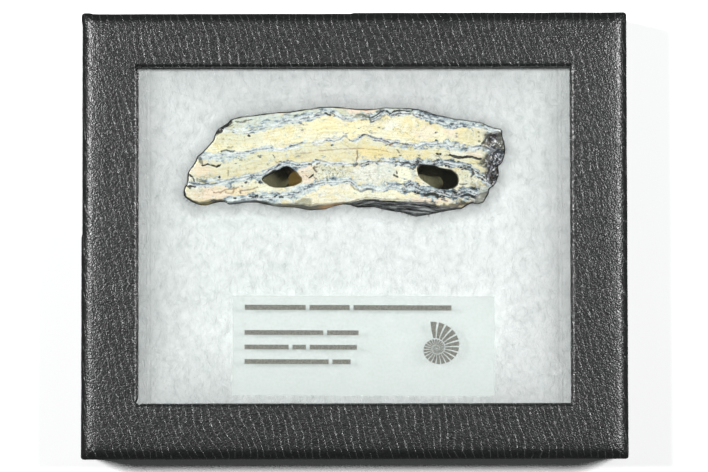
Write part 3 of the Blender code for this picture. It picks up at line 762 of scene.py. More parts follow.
# %% Tubes along the paths
FIBRE_RADIUS = 0.035 * MM
tube_points, tube_faces = [], []
for path in paths:
    first = len(tube_points)
    for i, here in enumerate(path):
        along = (path[min(i + 1, len(path) - 1)] - path[max(i - 1, 0)]).normalized()
        across = along.cross(Vector((0.0, 0.0, 1.0))).normalized()
        thin = FIBRE_RADIUS * (0.35 if i in (0, len(path) - 1) else 1.0)
        for turn in (0.0, 2 * math.pi / 3, 4 * math.pi / 3):
            tube_points.append(here + thin * (math.cos(turn) * across + math.sin(turn) * across.cross(along)))
    for ring in range(first, len(tube_points) - 3, 3):
        for a, b in ((0, 1), (1, 2), (2, 0)):
            tube_faces.append((ring + a, ring + b, ring + 3 + b, ring + 3 + a))
    end = len(tube_points) - 3
    tube_faces += [(first + 2, first + 1, first), (end, end + 1, end + 2)]
fibre_mesh = mesh_from("loose_fibres", tube_points, tube_faces)
carry(fibre_mesh, "beside_slice", np.full(len(tube_points), NESTLE_REACH))
fibres = new_piece("loose_fibres", fibre_mesh, fibre)
fibres.visible_shadow = False
print("their tubes:", len(tube_faces), "faces")

# %% [markdown]
# ## The label
#
# The label is a strip of matt clear film with grey printing. Film scatters what lies behind it a little and
# adds its own milky sheen, so it shows as a paler, calmer patch on the fill. It is a thin sheet with corners
# that lift a trace off the glass: a grid of points, bent by one function that the printing uses too.

# %% Shape of the film
LABEL_CENTRE = (2.3, -28.2)  # mm
LABEL_SIZE = (66.7, 25.4)  # mm
LABEL_TURN = math.radians(-0.3)
LABEL_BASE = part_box("label")[0].z / MM
OFF_CAD = 0.02  # mm, between the CAD label's underside and the film's
FILM = 0.12  # mm thick
LIFT = 0.16  # mm, how far the film's corners stand off the glass


def on_label(x, y):
    """A point given from the label's centre, in mm, as it lies on the case, with the film's lift."""
    share = (abs(x) / LABEL_SIZE[0] * 2) ** 6 * (abs(y) / LABEL_SIZE[1] * 2) ** 4
    lift = LIFT * min(share, 1.0) + 0.02 * noise.noise(Vector((x * 0.12, y * 0.12, 2.0)))
    cosine, sine = math.cos(LABEL_TURN), math.sin(LABEL_TURN)
    return Vector((
        LABEL_CENTRE[0] + x * cosine - y * sine,
        LABEL_CENTRE[1] + x * sine + y * cosine,
        LABEL_BASE + OFF_CAD + max(lift, 0.0),
    ))


print("label:", LABEL_SIZE, "mm, lying at", round(LABEL_BASE, 2), "mm")

# %% Film sheet
sheet_columns, sheet_rows = 54, 22
sheet = []
for top in (0.0, FILM):
    for j in range(sheet_rows + 1):
        for i in range(sheet_columns + 1):
            x = (i / sheet_columns - 0.5) * LABEL_SIZE[0]
            y = (j / sheet_rows - 0.5) * LABEL_SIZE[1]
            sheet.append((on_label(x, y) + Vector((0, 0, top))) * MM)
layer = (sheet_columns + 1) * (sheet_rows + 1)
cells = []
for j in range(sheet_rows):
    for i in range(sheet_columns):
        a = j * (sheet_columns + 1) + i
        b, c, d = a + 1, a + sheet_columns + 2, a + sheet_columns + 1
        cells += [(d, c, b, a), (layer + a, layer + b, layer + c, layer + d)]
        if j == 0:
            cells.append((a, b, layer + b, layer + a))
        if j == sheet_rows - 1:
            cells.append((c, d, layer + d, layer + c))
        if i == 0:
            cells.append((d, a, layer + a, layer + d))
        if i == sheet_columns - 1:
            cells.append((b, c, layer + c, layer + b))
print("film sheet:", len(cells), "faces")

# %% Frosted polyester
film, tree, shader = new_material("matt_polyester_film", IOR=1.5, Roughness=0.55, Alpha=0.5)
where = millimetres(tree)
frosting = add(tree, "TexNoise", {"Vector": where, "Scale": 1.4, "Detail": 3.0})
milky = add(tree, "ValToRGB", {"Fac": frosting}, stops=[(0.3, "#acb4b0"), (0.7, "#b2b9b6")])
frosted = add(tree, "Bump", {"Height": frosting, "Distance": 0.01 * MM, "Strength": 1.0})
lay(shader, Base_Color=milky, Normal=frosted)
label = new_piece("label_film", mesh_from("label_film", sheet, cells, smooth=False), film)
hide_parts("label")
label.visible_shadow = False  # so thin a film lets nearly all light through to the fill
print("film material:", len(tree.nodes), "nodes")

# %% [markdown]
# ## The printing on the label
#
# A real label is printed with toner, which is melted on and stands a hair proud of the film. Each printed
# shape is a thin raised patch with its own outline, so it stays crisp at any size of render. Words are left
# out, and plain bars stand for their lines. A ribbed spiral shell, drawn by a growth law, stands for the
# drawing beside them.

# %% Raised patches of toner
PRINT_DEPTH, OFF_FILM = 0.015, 0.002  # mm
# Each bar: left end, middle and length, height, in mm from the label's centre.
BARS = [
    (-30.3, 9.7, 15.5, 1.3), (-13.8, 9.7, 10.2, 1.3), (-2.6, 9.7, 24.9, 1.3),
    (-30.3, 3.3, 20.0, 1.2), (-9.3, 3.3, 8.0, 1.2),
    (-30.3, -0.4, 11.2, 1.2), (-18.1, -0.4, 3.4, 1.2), (-13.7, -0.4, 12.0, 1.2),
    (-30.3, -4.1, 21.4, 1.2), (-7.9, -4.1, 4.6, 1.2),
]
BAR_PIECE = 1.6  # mm, so short that a bar follows the bends of the film
print_points, print_faces = [], []


def printed(outline):
    """A thin raised patch of ink with this outline, counter-clockwise, in mm from the label's centre."""
    first, count = len(print_points), len(outline)
    for raised in (FILM + OFF_FILM, FILM + PRINT_DEPTH):
        print_points.extend((on_label(x, y) + Vector((0, 0, raised))) * MM for x, y in outline)
    for i in range(count):
        j = (i + 1) % count
        print_faces.append((first + i, first + j, first + count + j, first + count + i))
    print_faces.append(tuple(range(first + count - 1, first - 1, -1)))
    print_faces.append(tuple(range(first + count, first + 2 * count)))


for left, middle, length, tall in BARS:
    foot, head = middle - tall / 2, middle + tall / 2
    count = max(int(length / BAR_PIECE), 1)
    for number in range(count):
        a, b = left + length * number / count, left + length * (number + 1) / count
        printed([(a, foot), (b, foot), (b, head), (a, head)])
print("bars:", len(BARS), "in", len(print_faces), "faces")

# %% Ribbed shell
SHELL_CENTRE, SHELL_SIZE, SHELL_TURNS = (18.6, -0.6), 7.2, 3.2
SHELL_GROWTH, SHELL_MOUTH, SHELL_STRETCH = 0.17, 0.6, 1.1  # per radian, the mouth's angle, width to height
RIBS_PER_TURN, RIB_SHARE, RIB_LEAN = 22, 0.72, 0.10
RIB_OUTLINE = ((0, 0.04), (1, 0.04), (1, 0.5), (1, 0.97), (0, 0.97), (0, 0.5))  # along and across the whorl


def shell_point(turn, share):
    """A point of the spiral shell: how far round it is, and 0 to 1 across the whorl."""
    grow = math.exp(SHELL_GROWTH * (turn - 2 * math.pi * SHELL_TURNS))
    inner = math.exp(-SHELL_GROWTH * 2 * math.pi) * 1.03
    radius = SHELL_SIZE * grow * (inner + (1.0 - inner) * share)
    x = SHELL_CENTRE[0] + radius * math.cos(turn + SHELL_MOUTH) * SHELL_STRETCH
    return x, SHELL_CENTRE[1] + radius * math.sin(turn + SHELL_MOUTH)


rib_count = int(SHELL_TURNS * RIBS_PER_TURN)
rib_turn = 2 * math.pi * SHELL_TURNS / rib_count
for rib in range(rib_count):
    start, wide = rib_turn * rib, rib_turn * RIB_SHARE
    printed([shell_point(start + wide * s + RIB_LEAN * (1 - r), r) for s, r in RIB_OUTLINE])
print("shell:", rib_count, "ribs")

# %% Grey toner
toner, tree, shader = new_material("grey_toner", Roughness=0.6)
where = millimetres(tree)
speckle = add(tree, "TexNoise", {"Vector": where, "Scale": 3.0, "Detail": 3.0, "Roughness": 0.7})
grey = add(tree, "ValToRGB", {"Fac": speckle}, stops=[(0.35, "#54554f"), (0.65, "#73746c")])
lay(shader, Base_Color=grey)
print_mesh = mesh_from("label_printing", print_points, print_faces, smooth=False)
new_piece("label_printing", print_mesh, toner)
print("printing:", len(print_faces), "faces")

# %% [markdown]
# ## The slice: its enamel lines
#
# A mammoth's cheek tooth is a row of tall enamel plates filled with dentine and bound by cement. Sliced
# along, each plate shows as a thin wavy line, and ground water has soaked blue-grey minerals into the
# layers beside it. Each line is drawn as a maker would trace it, in mm from the slice's centre. With it
# goes, at places along it, how far the soaked zone reaches above and below, how dense it is and how dark.

# %% Enamel lines
TOOTH_CENTRE = (-2.6, 18.9)  # mm
TOOTH_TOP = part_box("tooth_slice")[1].z
ENAMEL = [
    {
        "line": [
            (-31.6, 8.7), (-27.0, 7.8), (-24.4, 7.9), (-21.8, 8.1), (-19.2, 8.7), (-16.6, 9.6), (-14.1, 10.5),
            (-11.5, 10.9), (-8.9, 11.4), (-6.3, 11.8), (-5.0, 12.3), (-3.7, 12.1), (-1.7, 11.8), (-0.4, 10.9),
            (1.4, 10.9), (3.0, 11.4), (6.1, 11.4), (6.9, 10.6), (8.2, 11.2), (9.7, 12.3), (10.8, 12.8),
            (11.8, 11.8), (13.3, 12.1), (17.5, 12.4), (19.5, 11.8), (21.6, 11.1), (23.7, 10.6), (25.7, 10.0),
            (27.8, 9.6), (32.0, 9.3), (34.0, 9.0), (36.1, 8.3), (37.6, 7.8), (40.2, 7.8),
        ],
        "soaked": [  # place, reach above, reach below, density, darkness
            (-31, 0.6, 0.6, 0.50, 0.3), (-26, 1.2, 0.8, 0.60, 0.3), (-20, 2.4, 0.7, 0.65, 0.3),
            (-15, 1.2, 0.9, 0.75, 0.4), (-10, 1.3, 1.0, 0.95, 0.6), (-6, 1.3, 0.6, 0.80, 0.5),
            (-3, 1.4, 0.4, 0.60, 0.5), (3, 0.9, 0.5, 0.60, 0.4), (7, 1.0, 0.6, 0.75, 0.7),
            (11, 1.0, 0.6, 0.75, 0.6), (16, 1.2, 0.6, 0.60, 0.5), (20, 2.2, 1.0, 0.95, 0.8),
            (27, 1.9, 1.0, 0.95, 0.65), (32, 1.8, 0.6, 0.90, 0.4), (36, 1.6, 0.3, 0.80, 0.4),
            (40, 0.7, 0.3, 0.80, 0.5),
        ],
    },
    {
        "line": [
            (-36.6, 1.6), (-33.4, 1.4), (-30.9, 1.8), (-28.3, 2.1), (-25.7, 2.2), (-23.1, 3.0), (-20.5, 3.4),
            (-18.7, 3.5), (-16.6, 3.1), (-14.6, 3.4), (-12.5, 4.1), (-10.4, 4.8), (-8.4, 4.7), (-6.8, 4.8),
            (-4.8, 5.2), (-2.4, 5.3), (-0.9, 5.8), (-0.1, 6.6), (0.7, 6.3), (1.4, 5.4), (2.2, 5.2),
            (3.5, 5.7), (4.5, 6.5), (5.6, 6.9), (6.6, 6.5), (8.2, 5.9), (9.7, 5.8), (10.2, 5.2),
            (11.8, 4.9), (13.9, 4.8),
            (14.9, 4.4), (18.0, 4.1), (19.0, 3.7), (20.1, 4.4), (21.6, 4.5), (23.2, 4.4), (26.3, 4.7),
            (27.3, 3.6), (28.1, 4.1), (28.8, 4.8), (29.6, 3.9), (30.9, 4.0), (33.0, 3.7), (35.1, 3.9),
            (36.6, 3.4), (38.2, 2.8),
        ],
        "soaked": [  # place, reach above, reach below, density, darkness
            (-37, 1.2, 1.4, 0.95, 0.3), (-30, 1.1, 1.5, 0.90, 0.3), (-26, 0.5, 1.2, 0.80, 0.5),
            (-20, 0.8, 0.6, 0.85, 0.5), (-16, 0.5, 0.6, 0.75, 0.35), (-12, 0.7, 0.7, 0.60, 0.25),
            (-8, 1.0, 0.4, 0.40, 0.2), (-3, 1.2, 0.4, 0.40, 0.4), (2, 0.6, 0.5, 0.50, 0.7),
            (8, 0.6, 0.6, 0.55, 0.8), (13, 0.5, 1.0, 0.60, 0.7), (20, 0.8, 1.3, 0.70, 0.7),
            (27, 0.9, 1.4, 0.70, 0.6), (32, 0.3, 1.6, 0.70, 0.4), (38, 0.4, 1.6, 0.45, 1.0),
        ],
    },
    {
        "line": [
            (-39.9, -5.9), (-36.0, -5.9), (-33.4, -5.8), (-30.9, -5.0), (-28.3, -4.4), (-25.7, -4.0),
            (-23.1, -3.5), (-21.3, -3.4), (-19.2, -2.3), (-17.2, -1.3), (-15.4, -0.4), (-13.5, -0.4),
            (-12.0, -1.0), (-10.2, -0.9), (-8.4, -0.3), (-6.8, 0.4), (-4.8, 0.0), (-2.7, -0.6), (1.4, -0.5),
            (3.0, -0.9), (4.3, -0.8), (5.6, -0.3), (6.9, 0.0), (8.7, -0.1), (10.8, 0.1), (12.3, -0.3),
            (13.9, 0.0), (15.4, -0.4), (17.0, -0.5), (19.0, 0.0), (21.1, -0.8), (23.2, -0.8), (24.7, -0.4),
            (26.3, -0.4), (27.8, -0.8), (29.4, -1.0), (30.9, -1.3), (32.5, -1.6), (33.5, -2.6), (35.1, -3.6),
            (36.6, -4.9), (37.6, -5.7),
        ],
        "soaked": [  # place, reach above, reach below, density, darkness
            (-40, 1.2, 0.6, 0.60, 0.5), (-34, 1.4, 0.4, 0.70, 0.5), (-29, 0.6, 1.3, 0.95, 0.5),
            (-24, 0.8, 1.1, 0.95, 0.6), (-21, 0.7, 1.6, 1.00, 0.7), (-13, 0.7, 1.6, 1.00, 0.65),
            (-9, 0.5, 0.6, 0.70, 0.5), (-4, 0.4, 0.6, 0.50, 0.5), (2, 0.9, 0.6, 0.50, 0.5),
            (10, 1.1, 0.7, 0.60, 0.6), (15, 1.0, 1.0, 0.90, 0.7), (22, 1.0, 1.4, 1.00, 0.9),
            (30, 1.0, 1.0, 0.95, 0.9), (34, 1.2, 1.2, 0.85, 0.8), (38, 1.3, 1.3, 0.50, 1.1),
        ],
    },
    {
        "line": [
            (-30.1, -10.6), (-28.0, -10.1), (-25.4, -9.8), (-22.9, -9.4), (-17.7, -9.2), (-15.6, -8.7),
            (-13.5, -8.7), (-11.5, -8.0), (-9.9, -7.1), (-8.4, -6.5), (-6.8, -5.8), (-4.8, -5.4), (1.4, -5.2),
            (2.5, -5.9), (3.5, -6.9), (4.5, -7.4), (5.6, -6.9), (7.1, -7.0), (8.7, -7.4), (10.2, -7.0),
            (11.8, -6.5), (13.3, -6.7), (14.4, -7.0), (15.7, -6.6), (17.0, -5.9), (18.0, -6.2), (19.0, -7.0),
            (20.6, -7.5), (22.1, -7.5), (25.2, -8.1), (28.3, -8.9), (29.9, -8.3), (31.4, -7.5), (33.0, -8.0),
            (34.5, -8.8), (36.1, -9.3),
        ],
        "soaked": [  # place, reach above, reach below, density, darkness
            (-30, 1.3, 0.7, 1.00, 0.5), (-24, 1.5, 1.3, 0.95, 0.5), (-17, 1.3, 1.9, 0.90, 0.4),
            (-12, 1.8, 1.2, 0.90, 0.4), (-9, 1.6, 1.5, 0.95, 0.4), (-4, 1.4, 0.6, 1.00, 0.5),
            (2, 1.5, 0.5, 0.80, 0.4), (9, 1.5, 0.5, 0.75, 0.4), (14, 1.5, 1.2, 0.80, 0.6),
            (19, 1.1, 1.9, 1.00, 0.9), (26, 1.4, 1.7, 1.00, 1.0), (33, 1.4, 1.6, 1.00, 0.8),
            (37, 1.5, 0.9, 0.75, 0.3),
        ],
    },
]
print("enamel lines:", len(ENAMEL), "with", sum(len(e["line"]) for e in ENAMEL), "points")

# %% [markdown]
# ## Stains, grains and marks
#
# Between the lines lie cream dentine and cement, stained by iron and manganese. Stains are soft ovals of a
# few named tones, and grainy patches are ovals where the tissue has broken down into crumbs. Marks are the
# small things that make it a fossil: drying cracks, open pores, and specks of black manganese and brown
# iron. All are placed in mm from the slice's centre and carried to the mesh as attributes.

# %% Tones and stains
TONES = {
    "ivory": "#d8dedd", "butter": "#dcd7b2", "cream": "#d8dac5", "amber": "#d2c797", "peach": "#d6c8b8",
    "sand": "#c8c9b4", "pearl": "#bcc6c3", "teal": "#93a7ab", "steel": "#8793a9", "slate": "#4d5a6c",
    "olive": "#767965", "umber": "#463f37", "plum": "#2a2832", "ink": "#161916",
}
STAINS = [  # centre, half-lengths, tone, strength
    ((-18.0, 10.6), (9.0, 1.7), "pearl", 0.55),
    ((-15.0, 12.7), (3.0, 0.4), "peach", 0.80),
    ((4.5, 13.1), (4.6, 0.9), "peach", 0.90),
    ((-5.7, 9.1), (4.2, 2.0), "butter", 0.80),
    ((3.0, 8.0), (3.5, 2.2), "butter", 0.60),
    ((12.0, 9.5), (2.5, 1.2), "ivory", 0.50),
    ((20.5, 7.4), (2.6, 1.8), "peach", 0.35),
    ((28.0, 7.5), (2.5, 1.6), "peach", 0.55),
    ((31.6, 6.9), (3.2, 2.2), "amber", 0.85),
    ((32.0, 6.4), (3.0, 1.8), "sand", 0.45),
    ((-28.0, 6.2), (7.0, 2.2), "sand", 0.70),
    ((-36.5, -2.0), (3.0, 2.0), "peach", 0.65),
    ((-26.0, -0.6), (8.0, 2.2), "sand", 0.50),
    ((-6.0, 2.2), (7.0, 1.7), "sand", 0.70),
    ((-5.0, 1.6), (6.0, 1.4), "amber", 0.30),
    ((7.6, 2.5), (4.4, 1.8), "amber", 0.95),
    ((17.5, 1.9), (5.0, 1.0), "amber", 0.45),
    ((31.0, 2.2), (5.0, 0.8), "ivory", 0.50),
    ((33.0, 1.6), (2.2, 0.5), "peach", 0.60),
    ((-38.5, -5.0), (2.5, 1.5), "pearl", 0.50),
    ((-35.0, -4.1), (3.2, 0.9), "olive", 0.35),
    ((-31.0, -8.2), (8.5, 1.7), "peach", 0.80),
    ((-27.0, -7.6), (4.5, 0.8), "amber", 0.40),
    ((-20.5, -6.0), (3.4, 1.7), "cream", 0.80),
    ((-9.6, -3.2), (2.4, 2.6), "peach", 0.80),
    ((-3.0, -2.8), (4.8, 2.0), "sand", 0.60),
    ((8.0, -3.3), (5.2, 2.6), "ivory", 0.70),
    ((10.5, -2.2), (2.6, 1.2), "pearl", 0.45),
    ((15.3, -3.7), (1.7, 2.3), "cream", 1.00),
    ((17.9, -3.3), (1.0, 1.9), "pearl", 0.80),
    ((31.0, -3.5), (1.8, 1.8), "sand", 1.00),
    ((35.2, -6.0), (1.3, 0.9), "amber", 0.90),
    ((-10.5, -10.3), (2.2, 0.9), "olive", 0.70),
    ((10.0, -8.3), (13.0, 1.2), "cream", 0.70),
    ((16.5, -8.3), (3.2, 1.1), "amber", 0.40),
    ((22.0, -9.8), (5.5, 0.8), "peach", 0.90),
    ((26.0, -11.7), (6.0, 0.8), "umber", 0.85),
    ((22.0, -11.3), (3.2, 0.5), "ink", 0.70),
    ((29.9, -10.9), (2.6, 1.3), "umber", 0.80),
    ((34.5, -10.3), (1.8, 0.8), "slate", 0.70),
    ((37.4, 5.7), (1.9, 1.9), "umber", 0.80),
    ((40.0, 4.2), (1.1, 2.2), "sand", 0.75),
    ((37.0, 3.1), (1.6, 0.9), "slate", 0.80),
    ((37.6, 0.5), (3.2, 1.6), "ink", 0.85),
    ((39.8, 1.5), (1.2, 1.8), "steel", 0.70),
    ((37.9, -2.9), (2.6, 2.6), "plum", 1.00),
    ((38.7, -4.9), (0.9, 0.9), "umber", 0.80),
    ((34.0, -6.6), (1.4, 1.0), "umber", 0.60),
    ((36.1, -7.8), (1.8, 1.5), "pearl", 0.90),
]
GRAINY = [  # centre, half-lengths, strength
    ((-3.2, -2.6), (5.2, 2.3), 1.00), ((7.5, -3.5), (5.5, 2.4), 0.55), ((-36.0, -4.6), (4.2, 1.3), 0.90),
    ((-37.5, -7.0), (2.5, 1.6), 0.50), ((5.2, 11.2), (2.8, 0.7), 0.80), ((-24.0, 9.9), (2.6, 1.2), 0.50),
    ((33.5, 7.0), (2.4, 1.8), 0.50), ((-15.5, -8.3), (5.0, 1.4), 0.45), ((23.0, -0.2), (6.0, 1.1), 0.70),
    ((17.7, -3.0), (1.1, 2.0), 0.70), ((29.0, -9.5), (4.0, 1.2), 0.60), ((34.0, -5.0), (2.0, 2.0), 0.80),
]
print("stains:", len(STAINS), "grainy patches:", len(GRAINY))

# %% Marks
MARK_COLOURS = {
    "black": "#0b0b09", "dark": "#24251f", "brown": "#6f5433", "olive": "#55552f", "rust": "#8a5a3c",
}
MARKS = [  # colour, width, strength, line
    ("black", 1.2, 0.85, [(-31.1, 9), (-29.3, 10.2)]),
    ("black", 0.9, 0.75, [(-32.9, 7.5), (-31.4, 7.9)]),
    ("dark", 0.3, 0.55, [(-28, 10.3), (-26, 10.2), (-23.6, 10.9)]),
    ("dark", 0.5, 0.80, [(-24.5, 6.7), (-24.3, 6.7)]),
    ("dark", 0.3, 0.35, [(-29.8, 3.7), (-28.8, 3.7)]),
    ("dark", 0.3, 0.60, [(-31.6, 2.8), (-30.1, 3), (-29.1, 2.6), (-28, 2.7)]),
    ("dark", 0.9, 0.50, [(-37.1, 1.3), (-36.6, 0)]),
    ("dark", 0.35, 0.80, [(-36.3, -0.9), (-34.7, -0.6), (-33.7, -0.9), (-32.7, -1.3), (-31.6, -0.8)]),
    ("olive", 0.5, 0.45, [(-26.6, 0.4), (-26.3, 0.4)]),
    ("dark", 0.4, 0.50, [(-22.1, 1.4), (-21.3, 1.4)]),
    ("dark", 0.3, 0.35, [(-29.6, -2.3), (-29.7, -3.6)]),
    ("dark", 0.6, 0.90, [(-32, -3.9), (-31.8, -4)]),
    ("dark", 0.5, 0.70, [(-25.3, -5.4), (-24.9, -5.2)]),
    ("dark", 0.3, 0.45, [(-26.2, -6.3), (-26, -6.2)]),
    ("dark", 0.4, 0.35, [(-29.1, -5.8), (-28.9, -6.2)]),
    ("dark", 0.5, 0.80, [(-28, -9.3), (-27.8, -9.3)]),
    ("dark", 0.4, 0.55, [(-26.6, -7.8), (-26.4, -7.9)]),
    ("brown", 0.3, 0.50, [(-33.4, -7.9), (-31.6, -7.9), (-30.6, -7.2), (-28.8, -7), (-27, -6.6)]),
    ("brown", 0.3, 0.50, [(-30.3, -7.8), (-29.6, -8.1), (-28.5, -8.1), (-28.2, -7.2)]),
    ("brown", 0.3, 0.50, [(-26.7, -7.4), (-24.4, -7.2), (-23.1, -6.9), (-22.1, -6.5)]),
    ("dark", 0.4, 0.70, [(-24.3, -8.9), (-24, -8.8)]),
    ("dark", 0.4, 0.55, [(-23.5, -9), (-23.3, -9.1)]),
    ("dark", 0.6, 0.85, [(-22.7, -8.8), (-22.3, -8.7)]),
    ("dark", 0.4, 0.55, [(-21.4, -9), (-21.2, -9.1)]),
    ("dark", 0.4, 0.80, [(-17.9, -9), (-17.2, -8.7)]),
    ("dark", 0.4, 0.70, [(-16.4, -9), (-15.7, -9.1)]),
    ("dark", 0.3, 0.65, [(-18.3, 1.8), (-17.7, 1.2)]),
    ("dark", 0.2, 0.35, [(-17.8, 0.4), (-17, -0.3)]),
    ("black", 0.6, 0.90, [(-33.7, -10), (-32.2, -10.2), (-30.6, -10.2)]),
    ("dark", 0.5, 0.65, [(-40.4, -5.9), (-39.4, -6.7)]),
    ("dark", 0.3, 0.80, [(-39.6, -3.2), (-38.8, -4.0), (-38.3, -4.9)]),
    ("dark", 0.3, 0.75, [(-39.9, -5.2), (-38.3, -5.6)]),
    ("dark", 0.3, 0.75, [(-39.6, -6.2), (-38.0, -6.4)]),
    ("black", 0.5, 0.80, [(-40.9, -7.8), (-40.7, -8.5)]),
    ("olive", 0.5, 0.45, [(-37.6, -4.4), (-35.8, -5.2)]),
    ("dark", 0.4, 0.75, [(-4.8, 12.5), (-4, 12.1), (-3.5, 12)]),
    ("dark", 0.3, 0.60, [(-3.5, 12.7), (-2.2, 11.9)]),
    ("brown", 0.2, 0.30, [(-12.5, 1.9), (-10.4, 2.2), (-8.4, 2.3)]),
    ("brown", 0.2, 0.30, [(-12.5, 1), (-11, 1.5)]),
    ("brown", 0.2, 0.25, [(-12.5, 2.6), (-11, 3.2)]),
    ("dark", 0.4, 0.60, [(-9, -0.6), (-8.4, -0.7)]),
    ("dark", 0.3, 0.60, [(-7.6, -1.3), (-6.8, -1.4)]),
    ("dark", 0.3, 0.55, [(-7, -0.6), (-6.3, -0.4)]),
    ("dark", 0.4, 0.60, [(-7.9, -1.6), (-7.1, -2.6)]),
    ("dark", 0.3, 0.80, [(-9.7, -3.6), (-9, -4.2), (-7.9, -3.4)]),
    ("dark", 0.3, 0.50, [(-7.7, -3.9), (-7.2, -4.4)]),
    ("olive", 0.5, 0.60, [(-4.4, -4.4), (-4.3, -4.7)]),
    ("dark", 0.4, 0.45, [(-0.4, -1.4), (0, -1)]),
    ("brown", 0.2, 0.40, [
        (-6.3, 2.8), (-2.4, 3.1), (1.4, 3.3), (4.5, 3.4), (6.6, 3.1), (8.7, 3), (11.3, 2.6),
    ]),
    ("brown", 0.3, 0.55, [(3.3, 2.8), (3.5, 1.3), (3.1, 0)]),
    ("brown", 0.4, 0.70, [(11.7, 4.3), (12.6, 4.7)]),
    ("dark", 0.3, 0.50, [(13.5, 3.1), (14.1, 2.3)]),
    ("dark", 0.6, 0.55, [(2.6, -1), (3.3, -0.5)]),
    ("dark", 0.3, 0.55, [
        (13.3, -0.1), (14.1, 0.1), (14.9, -0.8), (15.7, -0.4), (16.4, 0), (17.2, -0.9), (18, -0.8), (19, 0.1),
    ]),
    ("dark", 0.3, 0.70, [(13.4, -2.5), (13.5, -3)]),
    ("dark", 0.5, 0.70, [(12.8, -3.5), (13.6, -3.9)]),
    ("dark", 0.3, 0.70, [(7, 11.2), (8.2, 11.9), (9.2, 12.6), (10.2, 13.1)]),
    ("dark", 0.3, 0.40, [(6.4, 11), (7, 10.1), (8.2, 10.6), (9.7, 11.4), (10.5, 11.9)]),
    ("dark", 0.3, 0.75, [
        (10.8, 13.1), (11.8, 12.3), (12.6, 12.8), (13.3, 13.1), (15.4, 13), (17, 12.9), (17.7, 13.2),
    ]),
    ("olive", 0.6, 0.45, [(3.3, 11.9), (4.8, 11.9), (6.4, 11.5)]),
    ("olive", 0.4, 0.50, [(4.4, 10.7), (5.8, 10.8)]),
    ("dark", 0.2, 0.30, [(-0.4, 10.6), (0.4, 10.3), (2.7, 10.7)]),
    ("rust", 0.3, 0.60, [(2, 13.8), (4.5, 13.5), (5.6, 13.2), (7.1, 13.6)]),
    ("black", 0.4, 0.80, [(23.7, 1.9), (24.7, 1.9)]),
    ("black", 0.5, 1.00, [
        (27, 1.6), (28.1, 1.4), (29.1, 1), (30.4, 1), (31.4, 1.2), (32.7, 1.2), (33.8, 0.8), (34.9, 0.6),
    ]),
    ("olive", 0.4, 0.60, [(34.3, 7.6), (34.5, 7.5)]),
    ("olive", 0.4, 0.50, [(34.5, 6.5), (34.6, 6.4)]),
    ("olive", 0.5, 0.60, [(34.5, 5.2), (34.7, 5.1)]),
    ("dark", 0.3, 0.35, [(28.1, 3.4), (28.2, 4.4), (28.8, 5), (29.5, 4.5), (29.6, 3.4)]),
    ("dark", 0.4, 0.45, [(19.4, 12), (19.5, 11.8)]),
    ("dark", 0.3, 0.45, [(27.6, 9.4), (28.1, 9.8)]),
    ("dark", 0.4, 0.55, [(30.4, 9.3), (31.2, 8.9)]),
    ("dark", 0.3, 0.45, [(31.6, 9.3), (31.8, 9.3)]),
    ("dark", 0.3, 0.35, [(24.3, 1.3), (25, 0.5)]),
    ("dark", 0.6, 0.70, [(20.6, -8.7), (22.1, -8.4), (23.2, -8.3), (23.9, -9.2)]),
    ("dark", 0.6, 0.60, [(30.1, -10.3), (31.4, -11.1)]),
    ("rust", 0.3, 0.45, [(25.5, -10), (26.5, -10.2)]),
    ("dark", 0.3, 0.60, [(29.1, -5.6), (30.4, -5.9), (31.4, -5.8)]),
    ("dark", 0.4, 0.65, [(32.7, -2.1), (33.2, -3.1), (32.5, -3.9)]),
    ("dark", 0.4, 0.65, [(35.3, 4.5), (36.1, 5.4), (36.9, 7)]),
    ("dark", 0.3, 0.45, [
        (1.7, -5.8), (2.5, -6.9), (3.5, -7.4), (4.5, -7.8), (5.3, -7.4), (6.1, -7), (7.1, -7.1), (8.2, -7.6),
    ]),
    ("black", 0.5, 0.70, [(30.1, -8.9), (31.7, -8.5), (33.5, -9.2)]),
]
print("marks:", len(MARKS))

# %% Natural outside, by place along the slice
RIND_ABOVE = [  # place along the slice, colour
    (-41, "#33332d"), (-30, "#2a2b26"), (-20, "#55523c"), (-17, "#b98d5c"), (-14, "#8a6f4c"),
    (-13, "#26261f"), (-2, "#24241f"), (0, "#9c7463"), (8, "#8b6248"), (10, "#20211c"), (27, "#26271f"),
    (40, "#4c4a42"),
]
RIND_BELOW = [
    (-41, "#34332c"), (-39, "#5a5642"), (-37, "#9f9560"), (-35, "#8f8350"), (-33, "#4d3d2b"),
    (-31, "#4a3f33"), (-30, "#8d969a"), (-25, "#767f84"), (-22, "#4a4c49"), (-20, "#50514c"),
    (-18, "#95978e"), (-15, "#8a8062"), (-11, "#62635c"), (-7, "#75705f"), (-5, "#bb9466"),
    (-1, "#bf9d70"), (0.5, "#5c5a50"), (3, "#5a5e5d"), (14, "#626666"), (20, "#7b7e80"),
    (27, "#6c6e6d"), (30, "#54463c"), (33, "#5c5c58"), (35, "#93958c"), (38, "#6c6c66"), (41, "#454240"),
]
CAVITY_WALLS = [  # centre, half-lengths, colour
    ((-16.5, -3.5), (7.0, 4.8), "#15150f"),
    ((-11.9, -4.6), (2.7, 2.4), "#66542a"),
    ((24.1, -4.2), (6.4, 4.4), "#101109"),
]
print("stops along the outside:", len(RIND_ABOVE), "above and", len(RIND_BELOW), "below")

# %% [markdown]
# ## The slice: its shape
#
# The CAD slice gives the outline, the two pulp cavities, the chips and the ledge of the tooth's outside. A
# voxel remesh of a quarter of a millimetre gives enough points to roughen it. The cut face stays flat, as
# polishing left it, with cracks and pores sunk in and the harder enamel a hair proud. The sides are
# weathered, the right end is broken and granular, and the ledge below is split into thin flakes. What lies
# where, such as the nearest enamel line or stain, is worked out once for each point, and serves both the
# shape and the colour.


